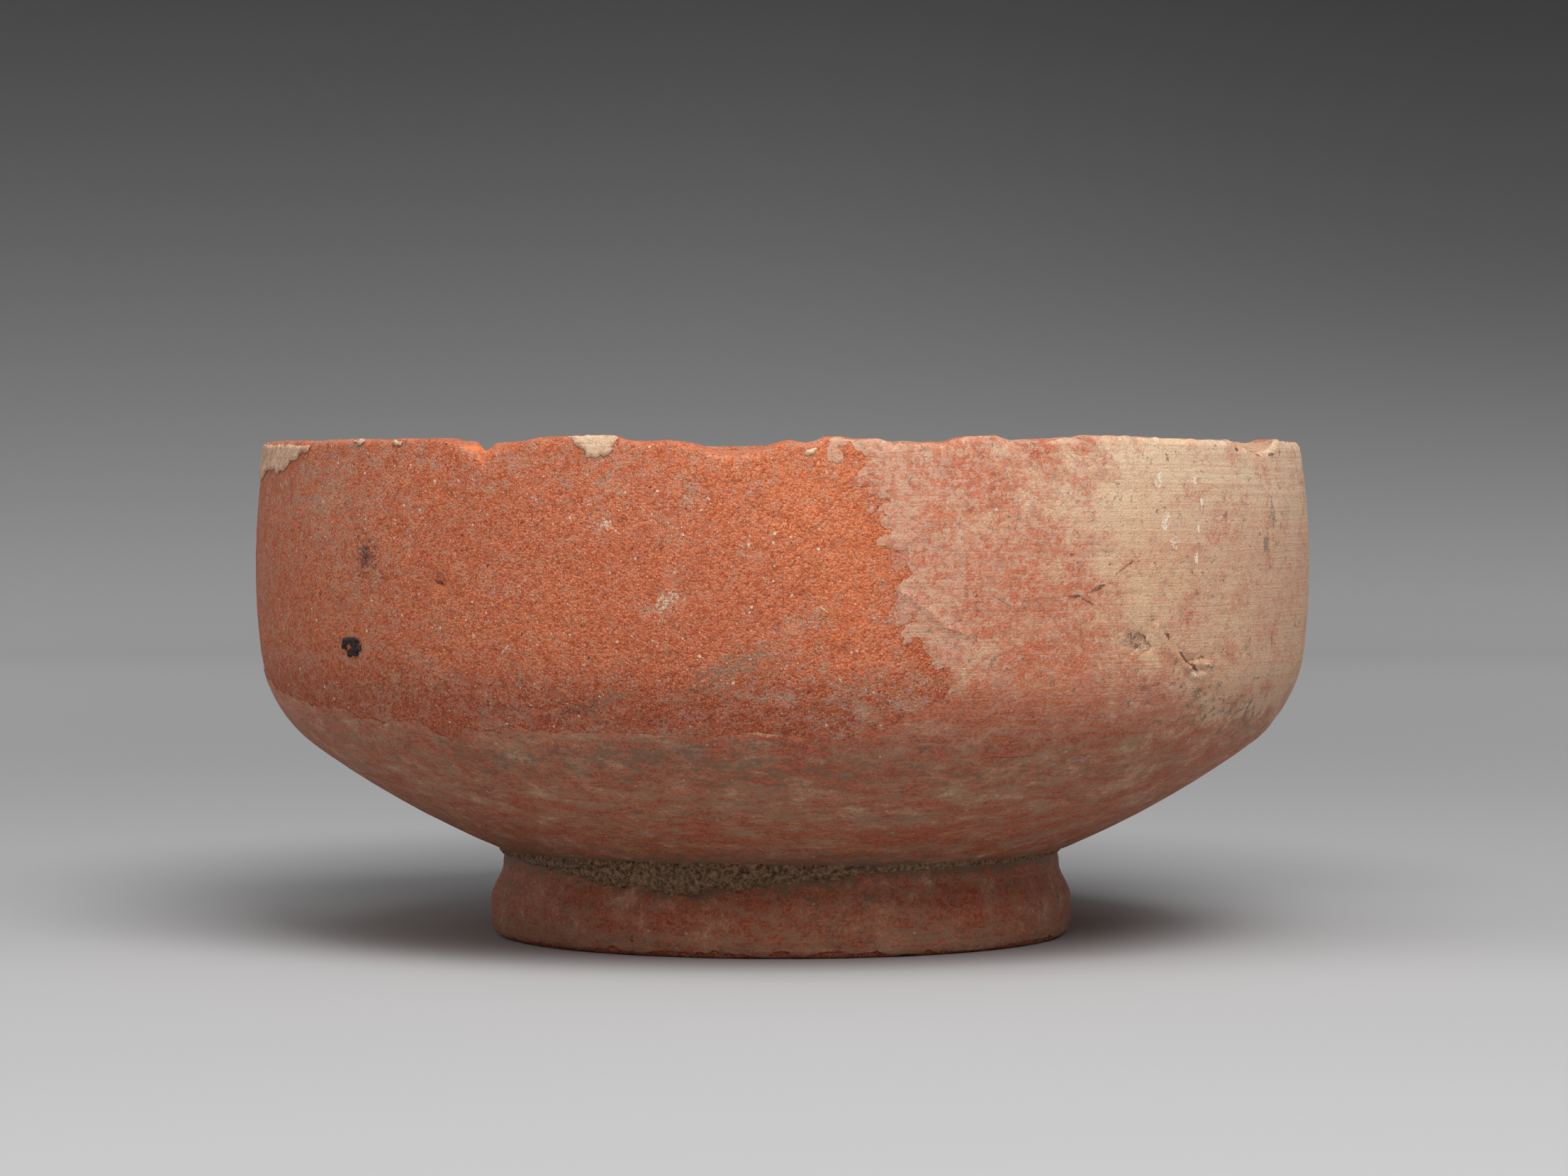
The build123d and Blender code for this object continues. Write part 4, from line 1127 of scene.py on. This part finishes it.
# Groove soil.
# Burial soil packed into the groove above the foot: a crumbly bead, thick at the left of the front and
# running out to a thin line at the right.
soil_turns = np.arange(-100, 100, 0.25)
soil_high = (
    (-100, 0.1), (-85, 0.4), (-65, 0.6), (-50, 0.9), (-35, 1.2), (-20, 1.25), (-5, 1.1), (6, 0.9),
    (14, 0.6), (20, 0.45), (40, 0.4), (60, 0.3), (85, 0.2), (100, 0.1),
)
soil_corner = (neck_radius + coat + 0.02, neck_height - 0.05)
wall_slope = np.radians(90 + wall_arcs[0][3])


def soil_reach(points, low, high, share):
    """Distance of the soil's face from the corner of the groove: from the low reach on the foot to the high
    reach on the wall by the share between them, drawn in a little midway, with lumps and grains on it."""
    reach = low + (high - low) * smooth(share, 0, 1) - 0.18 * (low + high) * np.sin(np.pi * share) * 0.5
    gap, kind = nearest_grain(points, 0.5, 81)
    lumps = 0.34 * (1 - smooth(gap, 0.1, 0.7)) * kind**2 + 0.16 * lattice_noise(points, 0.3, 84)
    lumps = lumps + 0.26 * lattice_noise(points, 1.1, 82)
    return reach * (1 + 0.25 * lattice_noise(points, 2.5, 83)) + lumps * np.minimum(reach, 1) ** 2


share = np.linspace(0, 1, 30)[:, None]
angle = np.radians(-90) + share * (wall_slope + np.radians(90))
low, high = (np.interp(soil_turns, *np.array(t).T)[None] for t in (soil_low, soil_high))
guess = around(soil_turns[None], soil_corner[0] + 1.5 * np.cos(angle), soil_corner[1] + 1.5 * np.sin(angle))
reach = soil_reach(guess, low, high, share)
tuck = 0.14 * smooth(share, 0.7, 1.0)  # presses the upper edge against the wall
face = around(soil_turns[None], soil_corner[0] + reach * np.cos(angle) - tuck * np.sin(wall_slope),
              soil_corner[1] + reach * np.sin(angle) + tuck * np.cos(wall_slope))
back_share = np.array((0.6, 0.2))[:, None]
up_back = around(soil_turns[None], soil_corner[0] + back_share * high * np.cos(wall_slope),
                 soil_corner[1] + back_share * high * np.sin(wall_slope))
down_back = around(soil_turns[None], soil_corner[0], soil_corner[1] - back_share[::-1] * low)
soil_points = np.concatenate([face, up_back, down_back])
index = numbered(soil_points)
soil_faces = [quads(np.concatenate([index, index[:1]])), index[None, :, 0], index[None, ::-1, -1]]
groove_soil = put_mesh("groove_soil_crumbly", soil_points.reshape(-1, 3), soil_faces, sharp=180)
soil_finish, tree, place = new_finish("burial soil")
grain, grains = use(tree, clay_grain, place=place), use(tree, grit, place=place, share=0.3)
lumps = cloud(tree, place, 0.5, 4, 0.7)
# The soil is paler on its lumps and darker in the hollows between them, painted shade over its brown, and
# its black gaps are painted shade as well.
colour = paint(
    tree, lay(tree, ramp(tree, lumps, 0.35, 0.65), tint(92, 70, 53), tint(190, 156, 124)),
    (grain["Tone"], 0.4, tint(128, 102, 78)),
    (grains["Pits"], 0.7, tint(48, 36, 29)),
    (grains["Pale"], 0.6, tint(190, 158, 126)))
close_finish(tree, colour, 1.0, calc(tree, "ADD", lumps, grain["Height"]), 0.3, 0.15)
groove_soil.data.materials.append(soil_finish)
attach(groove_soil, "root")
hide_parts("groove_soil")

# Black deposit.
# A small black crust on the bare wall at the left, an open ring with a gap at its lower left, cracked into
# grains.
crust_turn, crust_height, crust_radius, crust_width = -50.8, 33.9, 0.66, 0.42
crust_climb = climb_at(crust_height)
crust_seat = -0.12  # set into the clay, so that no lump of the wall shows through it


def crust_kept(turn, climb):
    """Cover of the crust: its half width less the distance from a ring, cut by a gap at the lower left,
    with a grainy edge."""
    x, y = (turn - crust_turn) * degree / 1.8, climb - crust_climb
    place = wall_place(turn, climb)
    ring = crust_width + 0.12 * x - np.abs(np.hypot(x, y) - crust_radius)
    bay = np.hypot(x + 0.62, y + 0.62) - 0.36
    cover = np.minimum(ring, bay) + 0.2 * lattice_noise(place, 0.28, 91)
    return cover + 0.08 * lattice_noise(place, 0.13, 92)


def crust_thick(turn, climb, cover):
    """Thickness of the crust: rising from its edge, with lumps."""
    place = wall_place(turn, climb)
    return np.clip(0.3 * smooth(cover, -0.05, 0.3) + 0.12 * lattice_noise(place, 0.22, 93), 0.02, 0.5)


deposit, _, _ = torn_shell(
    "black_deposit_crust", lip_line, np.arange(crust_turn - 3.6, crust_turn + 3.6, 0.06),
    np.arange(crust_climb - 2.0, crust_climb + 2.0, 0.055), crust_kept, crust_thick, seat=crust_seat)
deposit_finish, tree, place = new_finish("black crust")
grain = use(tree, clay_grain, place=place)
colour = lay(tree, ramp(tree, cloud(tree, place, 0.2, 3), 0.35, 0.7), tint(26, 22, 22), tint(66, 56, 54))
close_finish(tree, colour, 0.8, grain["Height"], 0.12)
deposit.data.materials.append(deposit_finish)
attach(deposit, "root")
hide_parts("black_deposit")

# Floor and backdrop.
# A pale studio floor that sweeps up into a wall all round, so the object stands alone. Its colour carries
# painted shade: darker up the wall, towards the wall's right and on the floor behind the object, with a
# painted shadow close behind it.
sweep = np.linspace(0, np.pi / 2, 24)
stage_rows = np.concatenate([np.array([(r, 0) for r in (60, 200, 400, 650, 900)], float).T,
                             np.stack([900 + 500 * np.sin(sweep), 500 - 500 * np.cos(sweep)])[:, 1:],
                             np.array([(1400, 800), (1400, 1500)], float).T], 1)[:, ::-1]
stage_points = swept(np.linspace(-180, 180, 128, endpoint=False), stage_rows)
index = numbered(stage_points)
stage_faces = [quads(np.concatenate([index, index[:, :1]], 1)), index[None, -1]]
backdrop = put_mesh("studio_sweep", stage_points.reshape(-1, 3), stage_faces, sharp=180)
sweep_finish, tree, place = new_finish("studio paper")
axes = node(tree, "SeparateXYZ", {0: place}).outputs
on_floor = vector(tree, "MULTIPLY", place, (1, 1, 0))
distance = vector(tree, "LENGTH", on_floor)
from_back = vector(tree, "LENGTH", vector(tree, "SUBTRACT", on_floor, (-5, 80, 0)))
# painted shadow on the floor close behind the object, and painted shade towards the right of the wall
painted_shadow_behind = calc(tree, "MULTIPLY", ramp(tree, from_back, 105, 40), ramp(tree, axes[1], 10, 70))
far_right = calc(tree, "MULTIPLY", ramp(tree, axes[0], -40, 320), ramp(tree, axes[2], 0, 150))
black, kept_per_mm = (0, 0, 0, 1), 0.99288  # painted shade: the wall's colour keeps that share for each mm it rises, for light falling off up the wall
colour = paint(
    tree, lay(tree, ramp(tree, distance, 250, 1050), (0.455, 0.455, 0.46, 1), (0.81, 0.81, 0.81, 1)),
    # painted shade on the floor behind the object
    (ramp(tree, axes[1], -60, 10), 0.09, black),
    (painted_shadow_behind, 0.3, black),
    (far_right, 0.28, black))
colour = lay(tree, calc(tree, "POWER", kept_per_mm, axes[2]), black, colour)
close_finish(tree, colour, 0.9, cloud(tree, place, 1.5, 2), 0.02, 0.1)
backdrop.data.materials.append(sweep_finish)

# Studio light and camera.
# One large soft light above and in front, a little to the right, one overhead, weaker ones at the left and
# behind, and an even dim sky. The camera is the photograph's, fitted to the outline of the rim and the
# foot.


def soft_light(name, place, aim, size, power):
    """Square area light at a place, turned so that it looks at its aim."""
    lamp = bpy.data.lights.new(name, "AREA")
    lamp.shape, lamp.size, lamp.energy = "SQUARE", size, power
    holder = bpy.data.objects.new(name, lamp)
    holder.location = place
    back = holder.location - type(holder.location)(aim)
    holder.rotation_euler = back.to_track_quat("Z", "Y").to_euler()
    holder.visible_camera = False
    bpy.context.scene.collection.objects.link(holder)


soft_light("key", (0.25, -0.61, 0.79), (0, 0, 0.03), 0.62, 8.0)
soft_light("top", (0.0, -0.45, 0.95), (0, 0, 0), 0.9, 5.0)
soft_light("left_fill", (-0.7, -0.5, 0.65), (0, 0, 0.03), 0.6, 1.4)
soft_light("left_back_fill", (-0.7, 0.6, 0.35), (-0.05, 0, 0), 0.5, 0.8)
soft_light("right_back_fill", (0.7, 0.6, 0.35), (0.05, 0, 0), 0.5, 0.6)
world = bpy.data.worlds.new("studio")
world.use_nodes = True
world.node_tree.nodes["Background"].inputs[0].default_value = (1, 1, 1, 1)
world.node_tree.nodes["Background"].inputs[1].default_value = 0.3
bpy.context.scene.world = world
bpy.context.scene.view_settings.view_transform = "Standard"

photo_width, focal, axis_column, camera_dip = 2212, 6738.0, 1102.0, 1.28  # pixels, and degrees below level
camera = bpy.data.cameras.new("camera")
camera.sensor_width = 36.0
camera.lens = focal / photo_width * camera.sensor_width
camera.shift_x = (photo_width / 2 - axis_column) / photo_width
camera.clip_start, camera.clip_end = 0.01, 20.0
viewer = bpy.data.objects.new("camera", camera)
viewer.location = (0.0, -0.546, 0.0515)
viewer.rotation_euler = (np.radians(90 - camera_dip), 0, 0)
bpy.context.scene.collection.objects.link(viewer)
bpy.context.scene.camera = viewer

bpy.context.view_layer.update()
